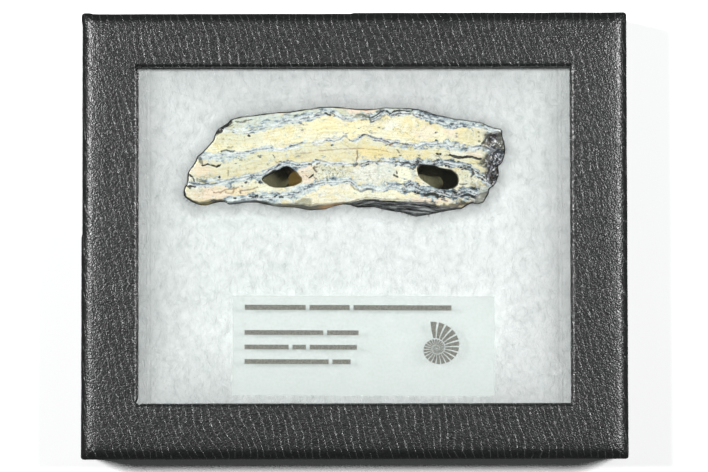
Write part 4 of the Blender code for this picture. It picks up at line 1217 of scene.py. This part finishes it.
# %% Distances to lines
def distance_to_line(points, line):
    """Each point's distance to an open line."""
    line = np.array(line, float)
    nearest = np.full(len(points), 1e9)
    for one, two in zip(line[:-1], line[1:]):
        along = two - one
        share = np.clip((points - one) @ along / max(along @ along, 1e-9), 0.0, 1.0)
        foot = one + share[:, None] * along
        nearest = np.minimum(nearest, np.hypot(points[:, 0] - foot[:, 0], points[:, 1] - foot[:, 1]))
    return nearest


def rim_segments(node, level):
    """The edges round the flat face of a CAD node at this level, as pairs of points."""
    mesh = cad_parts[node].data
    seen = {}
    for polygon in mesh.polygons:
        if polygon.normal.z < 0.99 or abs(polygon.center.z - level) > 0.02 * MM:
            continue
        for key in polygon.edge_keys:
            ends = tuple(sorted(tuple(round(c, 7) for c in mesh.vertices[i].co[:2]) for i in key))
            seen[ends] = seen.get(ends, 0) + 1
    return [np.array(ends) for ends, times in seen.items() if times == 1]


print("from (3, 4) to a line along X:", distance_to_line(np.array([(3.0, 4.0)]), [(0, 0), (9, 0)])[0])


# %% Skin of the slice
TOOTH_VOXEL = 0.245 * MM
CUT_FACE = -0.05  # mm, points above this level lie on the cut face
tooth_mesh = remeshed("tooth_slice", TOOTH_VOXEL, "mammoth_tooth_slice")
points = coordinates(tooth_mesh)
centre = np.array((*TOOTH_CENTRE, TOOTH_TOP / MM))
local = points / MM - centre
flat_face = local[:, 2] > CUT_FACE
plan = local[:, :2]
flattened = np.stack((local[:, 0], local[:, 1], 0 * local[:, 0]), axis=1)
print("slice:", len(points), "points,", int(flat_face.sum()), "on the cut face")

rim = [ends / MM - np.array(TOOTH_CENTRE) for ends in rim_segments("tooth_slice", TOOTH_TOP)]
rim_distance = np.min([distance_to_line(plan, ends) for ends in rim], axis=0)
print("the rim of the cut face has", len(rim), "edges; farthest point:", round(rim_distance.max(), 1), "mm")

# %% Bands across the slice
SLICE_HEAD, SLICE_FOOT = 16.0, -14.0  # mm, just past the outline
lines_at = [np.interp(plan[:, 0], *np.array(enamel["line"]).T) for enamel in ENAMEL]
levels = [np.full(len(plan), SLICE_HEAD), *lines_at, np.full(len(plan), SLICE_FOOT)]
strata = np.zeros(len(plan))
for number, (upper, lower) in enumerate(zip(levels[:-1], levels[1:])):
    inside = (plan[:, 1] <= upper) & (plan[:, 1] > lower)
    strata = np.where(inside, number + (upper - plan[:, 1]) / (upper - lower), strata)
print("layers between the enamel lines:", len(levels) - 1)

# %% Soaked zones beside the enamel
enamel_distance = np.full(len(plan), 1e9)
darkness = np.zeros(len(plan))
soaked = np.zeros(len(plan))
lobes = 1.0 + 0.55 * wander(flattened, 0.45, 91.0) + 0.45 * wander(flattened, 1.2, 95.0)
for enamel, here in zip(ENAMEL, lines_at):
    distance = distance_to_line(plan, enamel["line"])
    place, *soak = np.array(enamel["soaked"]).T
    reach_above, reach_below, density, dark = (np.interp(plan[:, 0], place, values) for values in soak)
    reach = np.where(plan[:, 1] > here, reach_above, reach_below) * lobes
    soaked = np.maximum(soaked, density * ease(1.35, 0.5, distance / reach))
    nearer = distance < np.abs(enamel_distance)
    enamel_distance = np.where(nearer, np.copysign(distance, plan[:, 1] - here), enamel_distance)
    darkness = np.where(nearer, dark, darkness)
print("points in the soaked zones:", int((soaked > 0.3).sum()))


# %% Stains on the slice
def shifts(scale, seeds, reach):
    """How far noise moves each point along X and Y, so that drawn shapes get natural edges."""
    return np.stack([wander(flattened, scale, seed) for seed in seeds], axis=1) * reach


warp = shifts(0.55, (31.0, 40.0), 1.3) + shifts(1.9, (35.0, 44.0), 0.45)
warped = plan + warp
stain = np.zeros((len(plan), 4))
for (x, y), (half_x, half_y), tone, strength in STAINS:
    reach = np.hypot((warped[:, 0] - x) / half_x, (warped[:, 1] - y) / half_y)
    cover = strength * ease(1.25, 0.7, reach)
    rest = stain[:, 3] * (1.0 - cover)
    total = np.maximum(cover + rest, 1e-6)
    added = np.array(srgb(TONES[tone]))[:3] * cover[:, None]
    stain[:, :3] = (added + stain[:, :3] * rest[:, None]) / total[:, None]
    stain[:, 3] = cover + rest
grainy = np.zeros(len(plan))
for (x, y), (half_x, half_y), strength in GRAINY:
    reach = np.hypot((warped[:, 0] - x) / half_x, (warped[:, 1] - y) / half_y)
    grainy = np.maximum(grainy, strength * ease(1.3, 0.6, reach))
print("points in stains:", int((stain[:, 3] > 0.3).sum()), "in grainy patches:", int((grainy > 0.3).sum()))

# %% Marks on the slice
mark = np.zeros((len(plan), 4))
mark_edge = np.full(len(plan), 9.0)
shaken = plan + shifts(1.6, (50.0, 57.0), 0.22)
for kind, width, strength, line in MARKS:
    edge = distance_to_line(shaken, line) - 0.5 * width
    nearer = edge < mark_edge
    mark[nearer] = (*srgb(MARK_COLOURS[kind])[:3], strength)
    mark_edge = np.minimum(mark_edge, edge)
sunk = mark[:, 3] * ease(0.16, -0.1, mark_edge)
print("points sunk in cracks and pores:", int((sunk > 0.3).sum()))

# %% Sides and cavity walls
crisp = np.where(rim_distance > 0.4, 0.06, 0.5)  # the saw's sharp edge keeps the cut face's colours
side = ease(-crisp, -crisp - 0.3, local[:, 2])
x, y = plan.T
above = y > np.interp(x, (-41, 41), (-3.0, 1.0))  # the slice's long axis, which runs up to the right
rind = np.ones((len(plan), 4))
for channel in range(3):
    upper = np.interp(x, [p for p, _ in RIND_ABOVE], [srgb(c)[channel] for _, c in RIND_ABOVE])
    lower = np.interp(x, [p for p, _ in RIND_BELOW], [srgb(c)[channel] for _, c in RIND_BELOW])
    rind[:, channel] = np.where(above, upper, lower)
in_cavity = np.zeros(len(plan), bool)
for (middle_x, middle_y), (half_x, half_y), colour in CAVITY_WALLS:
    within = np.hypot((x - middle_x) / half_x, (y - middle_y) / half_y) < 1.0
    rind[within] = srgb(colour)
    in_cavity |= within
print("points in the cavities:", int(in_cavity.sum()))

# %% Broken end and ledge
BROKEN_FROM = (34.5, 37.5)  # mm along the slice, where its broken right end begins
granular = ease(*BROKEN_FROM, x + 1.2 * warp[:, 0]) * ease(9.0, 7.0, y)
granular *= 0.45 + 0.55 * ease(-7.5, -5.5, y)  # less so at the lower corner
broken = granular * (side > 0.3)
rind[granular > 0.5, :3] = stain[granular > 0.5, :3]
along_ledge = ease(1.0, 4.0, x) * ease(31.0, 27.0, x) * (y < -8.5)
flaked = np.where(in_cavity, 0.0, 0.3 + 0.7 * along_ledge)  # flakes show most on the ledge
print("points in broken end:", int((broken > 0.3).sum()), "along ledge:", int((along_ledge > 0).sum()))

# %% Roughen the slice
normals = np.zeros(len(points) * 3)
tooth_mesh.vertices.foreach_get("normal", normals)
normals = normals.reshape(-1, 3)
coarse = wander(local, 0.8, 61.0)
fine = wander(local, 2.3, 66.0)
pushed = side * (0.06 * coarse + 0.04 * fine - 0.03)  # mm along the normal, as in all lines below

# ribs down the cavities' walls, and crumbs at the broken end
pushed += side * in_cavity * 0.26 * np.maximum(wander(flattened, 0.75, 68.0), 0.0)
pushed += broken * (0.22 * (np.abs(wander(local, 1.1, 71.0)) - 0.3) + 0.12 * np.abs(wander(local, 2.6, 75.0)))

# steps of split flakes, each rising away from the cut face's rim
ledge = side * along_ledge * (normals[:, 2] > 0.15)
flake = (rim_distance * 1.15 + 0.5 * wander(flattened, 0.18, 81.0)) % 1.0
pushed += ledge * 0.22 * (flake - 0.5)
local = local + normals * pushed[:, None]
print("sides moved by up to", round(float(np.abs(pushed).max()), 2), "mm")

# %% Polish the cut face
HIGHEST = 0.05  # mm above the CAD's cut face
relief = 0.03 * ease(0.9, 0.2, np.abs(enamel_distance)) - 0.3 * sunk**2 - granular * 0.10 * np.abs(fine)
local[:, 2] = np.minimum(local[:, 2] + flat_face * relief, HIGHEST)
set_coordinates(tooth_mesh, (local + centre) * MM)
print("cut face from", round(float(relief.min()), 2), "to", round(float(relief.max()), 2), "mm")

# %% Carry the maps to the mesh
shares = {
    "strata": strata, "enamel": enamel_distance, "soaked": soaked, "darkness": darkness, "rim": rim_distance,
    "side": side, "grainy": grainy, "granular": granular, "mark_edge": mark_edge, "flaked": flaked,
}
tints = {"stain": stain, "mark": mark, "rind": rind}
for name, values in {**shares, **tints}.items():
    carry(tooth_mesh, name, values)
print("slice maps carried:", [a.name for a in tooth_mesh.attributes if not a.name.startswith(".")])

# %% [markdown]
# ## Fossil tooth: mineralised, sawn and polished
#
# Ground water has replaced much of the tooth with minerals, so it is as hard and dense as stone and takes a
# polish: a dielectric with an IOR near 1.6 and low roughness. The colour is laid on in coats, as the tooth
# itself came about: the ground tone of each layer, stains, growth hairlines, crumbs, the soaked blue-grey
# zones, the enamel's white edges and dark line, then the rim and the marks. The hairlines are really about
# 0.1 mm apart, and the flecks as fine as that. Both are drawn 0.4 mm wide so that they show. The specular
# level is a little low, since the mineral is finely pitted and its darkest parts would else look grey.

# %% Ground tone
fossil, tree, shader = new_material("polished_fossil_tooth", IOR=1.6, Specular_IOR_Level=0.3)
where = millimetres(tree, (*TOOTH_CENTRE, 0.0))
share = {name: add(tree, "Attribute", attribute_name=name).outputs["Fac"] for name in shares}
tint = {name: add(tree, "Attribute", attribute_name=name).outputs for name in tints}
layer = add(tree, "Math", {0: share["strata"], 1: 0.2}, operation="MULTIPLY")
ground_tone = add(
    tree, "ValToRGB", {"Fac": layer},
    stops=[
        (0.0, "#bdc8c3"), (0.16, "#bdc8c3"), (0.22, "#d5d5be"), (0.38, "#d7d8c4"), (0.43, "#cbcdb8"),
        (0.57, "#cbcab4"), (0.63, "#cfd0c4"), (0.78, "#cfcebd"), (0.84, "#d6d6ca"), (1.0, "#d1d0be"),
    ],
)
print("ground tone and", len(share) + len(tint), "maps")

# %% Growth hairlines and clouds
apart = add(tree, "SeparateXYZ", {"Vector": where})
along = add(tree, "Math", {0: apart.outputs["X"], 1: 0.12}, operation="MULTIPLY")
stacked = add(tree, "Math", {0: share["strata"], 1: 9.0}, operation="MULTIPLY")
growth_place = add(tree, "CombineXYZ", {"X": along, "Y": stacked})
growth = add(tree, "TexNoise", {"Vector": growth_place, "Scale": 1.3, "Detail": 4.0, "Roughness": 0.65})
growth_shade = add(
    tree, "ValToRGB", {"Fac": growth}, stops=[(0.36, "#e9e2cb"), (0.52, "#ffffff"), (0.7, "#fffaea")]
)
hairline = add(tree, "ValToRGB", {"Fac": growth}, stops=[(0.455, 0.0), (0.475, 1.0), (0.495, 0.0)])
patches = add(tree, "TexNoise", {"Vector": where, "Scale": 0.3, "Detail": 2.0})
in_patches = add(tree, "MapRange", {"Value": patches, "From Min": 0.45, "From Max": 0.6, "To Max": 0.4})
hair_amount = add(tree, "Math", {0: hairline, 1: in_patches}, operation="MULTIPLY")
cloud = add(tree, "TexNoise", {"Vector": where, "Scale": 0.55, "Detail": 3.0, "Roughness": 0.6})
cloud_tone = add(
    tree, "ValToRGB", {"Fac": cloud}, stops=[(0.36, "#faebbd"), (0.46, "#fff7dd"), (0.56, "#ffffff")]
)
bent = add(
    tree, "VectorMath", {0: cloud.outputs["Color"], 1: (2.4, 2.4, 0.0), 2: where}, operation="MULTIPLY_ADD"
)
crackle = add(tree, "TexVoronoi", {"Vector": bent, "Scale": 0.42}, feature="DISTANCE_TO_EDGE")
crack = add(tree, "ValToRGB", {"Fac": crackle.outputs["Distance"]}, stops=[(0.0, 1.0), (0.05, 0.0)])
crack_amount = add(tree, "Math", {0: crack, 1: in_patches}, operation="MULTIPLY")
print("nodes so far:", len(tree.nodes))

# %% Flecks and crumbs
fleck = add(tree, "TexNoise", {"Vector": where, "Scale": 2.3, "Detail": 3.0, "Roughness": 0.75})
fleck_shade = add(
    tree, "ValToRGB", {"Fac": fleck}, stops=[(0.3, "#b4b5a6"), (0.38, "#eeece2"), (0.46, "#ffffff")]
)
crumbs = add(tree, "TexVoronoi", {"Vector": bent, "Scale": 2.7}, feature="F1")
crumb_tone = add(
    tree, "ValToRGB", {"Fac": crumbs.outputs["Color"]},
    stops=[(0.1, "#5d6149"), (0.25, "#8a8b72"), (0.45, "#afb19c"), (0.6, "#cccec0"), (0.9, "#d2d2c6")],
)
loose = add(tree, "MapRange", {"Value": fleck, "From Min": 0.38, "From Max": 0.56})
crumb_amount = add(tree, "Math", {0: share["grainy"], 1: loose}, operation="MULTIPLY")
shards = add(tree, "TexVoronoi", {"Vector": bent, "Scale": 2.6}, feature="F1")
shard_tone = add(
    tree, "ValToRGB", {"Fac": shards.outputs["Color"]},
    stops=[(0.35, "#0c0d0c"), (0.56, "#19181b"), (0.66, "#3a3026"), (0.76, "#434c55"), (0.87, "#bcc0c0")],
)
shard_amount = add(tree, "Math", {0: share["granular"], 1: 0.88}, operation="MULTIPLY")
white_fleck = add(tree, "MapRange", {"Value": fleck, "From Min": 0.55, "From Max": 0.65})
print("nodes so far:", len(tree.nodes))

# %% Blue-grey soaked zones
laid = add(tree, "VectorMath", {0: where, 1: (0.5, 1.0, 1.0)}, operation="MULTIPLY")
soak_cloud = add(tree, "TexNoise", {"Vector": laid, "Scale": 1.0, "Detail": 3.0, "Roughness": 0.65})
soak_push = add(tree, "Math", {0: soak_cloud, 1: 3.0, 2: -1.75}, operation="MULTIPLY_ADD")  # frays the edge
soak_level = add(tree, "Math", {0: share["soaked"], 1: soak_push}, operation="ADD")
soak_amount = add(tree, "MapRange", {"Value": soak_level, "From Min": 0.0, "From Max": 0.3})
fleck_share = add(tree, "Math", {0: soak_amount, 1: 0.55}, operation="MULTIPLY")
bright_fleck = add(tree, "Math", {0: white_fleck, 1: fleck_share}, operation="MULTIPLY")
grit = add(tree, "TexNoise", {"Vector": laid, "Scale": 1.7, "Detail": 4.0, "Roughness": 0.7})
blotch = add(tree, "TexNoise", {"Vector": laid, "Scale": 0.8, "Detail": 2.0})

# the tone is a weighted sum of the two noises, made darker where the traced zone is darker
calm_grit = add(tree, "Math", {0: grit, 1: 0.55, 2: -0.175}, operation="MULTIPLY_ADD")
centred = add(tree, "Math", {0: blotch, 1: 0.9, 2: calm_grit}, operation="MULTIPLY_ADD")
darker = add(tree, "Math", {0: share["darkness"], 1: -0.28, 2: centred}, operation="MULTIPLY_ADD")
soak_tone = add(
    tree, "ValToRGB", {"Fac": darker},
    stops=[
        (0.18, "#1e211c"), (0.27, "#4b5862"), (0.34, "#73828a"), (0.41, "#97a5a8"), (0.48, "#afbaba"),
        (0.6, "#c9d0cd"),
    ],
)
print("nodes so far:", len(tree.nodes))

# %% Enamel: white edges and a dark core
# the line is shaken by two noises, and 0.6, the mean of their sum, is taken off to keep it in its place
quiver = add(tree, "Math", {0: grit, 1: 0.7, 2: -0.35}, operation="MULTIPLY_ADD")
sway = add(tree, "Math", {0: blotch, 1: 1.2, 2: quiver}, operation="MULTIPLY_ADD")
swayed = add(tree, "Math", {0: share["enamel"], 1: sway}, operation="ADD")
enamel_at = add(tree, "Math", {0: swayed, 1: -0.6}, operation="ADD")
from_enamel = add(tree, "Math", {0: enamel_at}, operation="ABSOLUTE")
white_edge = add(
    tree, "ValToRGB", {"Fac": from_enamel}, stops=[(0.1, 0.0), (0.22, 0.75), (0.42, 0.6), (0.62, 0.0)]
)
in_places = add(tree, "MapRange", {"Value": soak_cloud, "From Min": 0.44, "From Max": 0.56})
edge_amount = add(tree, "Math", {0: white_edge, 1: in_places}, operation="MULTIPLY")
core = add(tree, "ValToRGB", {"Fac": from_enamel}, stops=[(0.0, 1.0), (0.12, 0.9), (0.26, 0.0)])
core_strength = add(
    tree, "Math", {0: share["darkness"], 1: 0.75, 2: 0.15}, operation="MULTIPLY_ADD", use_clamp=True
)
unbroken = add(tree, "MapRange", {"Value": cloud, "From Min": 0.38, "From Max": 0.5, "To Min": 0.25})
core_held = add(tree, "Math", {0: core_strength, 1: unbroken}, operation="MULTIPLY")
core_amount = add(tree, "Math", {0: core, 1: core_held}, operation="MULTIPLY")
core_tone = add(
    tree, "ValToRGB", {"Fac": darker}, stops=[(0.25, "#262b33"), (0.36, "#4f5965"), (0.5, "#7b8590")]
)
print("nodes so far:", len(tree.nodes))


# %% Coats of colour
def coated(tree, ground, coats):
    """Lays coats, each a colour, its amount and its way of mixing, one over another on a ground."""
    for coat, amount, blend in coats:
        layers = {"Factor": amount, "A": ground, "B": coat}
        ground = add(tree, "Mix", layers, data_type="RGBA", blend_type=blend)
    return ground


rim_near = add(tree, "Math", {0: grit, 1: 0.7, 2: share["rim"]}, operation="MULTIPLY_ADD")
rim_amount = add(tree, "ValToRGB", {"Fac": rim_near}, stops=[(0.26, 0.9), (0.36, 0.6), (0.5, 0.0)])
ragged = add(tree, "Math", {0: grit, 1: 0.5, 2: share["mark_edge"]}, operation="MULTIPLY_ADD")
mark_cover = add(tree, "MapRange", {"Value": ragged, "From Min": 0.38, "From Max": 0.22, "To Max": 1.3})
mark_amount = add(
    tree, "Math", {0: mark_cover, 1: tint["mark"]["Alpha"]}, operation="MULTIPLY", use_clamp=True
)
cut_colour = coated(tree, ground_tone, (
    (cloud_tone, 0.6, "MULTIPLY"),
    (tint["stain"]["Color"], tint["stain"]["Alpha"], "MIX"),
    (growth_shade, 0.7, "MULTIPLY"),
    (srgb("#8d7448"), hair_amount, "MIX"),
    (srgb("#8d7d58"), crack_amount, "MIX"),
    (crumb_tone, crumb_amount, "MIX"),
    (shard_tone, shard_amount, "MIX"),
    (soak_tone, soak_amount, "MIX"),
    (srgb("#d6d8d4"), edge_amount, "MIX"),
    (core_tone, core_amount, "MIX"),
    (fleck_shade, 0.9, "MULTIPLY"),
    (srgb("#e4e6e2"), bright_fleck, "MIX"),
    (tint["rind"]["Color"], rim_amount, "MIX"),
    (tint["mark"]["Color"], mark_amount, "MIX"),
))
print("nodes so far:", len(tree.nodes))

# %% Natural outside, in thin flakes
flake_rise = add(tree, "Math", {0: apart.outputs["Z"], 1: -0.6, 2: share["rim"]}, operation="MULTIPLY_ADD")
flake_place = add(tree, "CombineXYZ", {"X": along, "Y": flake_rise})
flaking = add(tree, "TexNoise", {"Vector": flake_place, "Scale": 1.7, "Detail": 4.0, "Roughness": 0.7})
flake_tone = add(
    tree, "ValToRGB", {"Fac": flaking}, stops=[(0.4, "#2a2a2a"), (0.48, "#8c8c8c"), (0.58, "#ffffff")]
)
split_edge = add(tree, "MapRange", {"Value": flaking, "From Min": 0.55, "From Max": 0.65, "To Max": 0.45})
pale_flake = add(tree, "Math", {0: split_edge, 1: share["flaked"]}, operation="MULTIPLY")
outside = coated(tree, tint["rind"]["Color"], (
    (flake_tone, share["flaked"], "MULTIPLY"),
    (srgb("#a6aaa6"), pale_flake, "MIX"),
    (fleck_shade, 0.6, "MULTIPLY"),
    (shard_tone, shard_amount, "MIX"),
))
whole = add(tree, "Mix", {"Factor": share["side"], "A": cut_colour, "B": outside}, data_type="RGBA")
dull_rim = add(tree, "MapRange", {"Value": share["rim"], "From Max": 0.5, "To Min": 0.4, "To Max": 0.25})
pitted = add(tree, "Bump", {"Height": fleck, "Distance": 0.03 * MM, "Strength": 1.0})
lay(shader, Base_Color=whole, Roughness=dull_rim, Normal=pitted)

tooth = new_piece("mammoth_tooth_slice", tooth_mesh, fossil)
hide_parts("tooth_slice")
print("tooth material:", len(tree.nodes), "nodes")
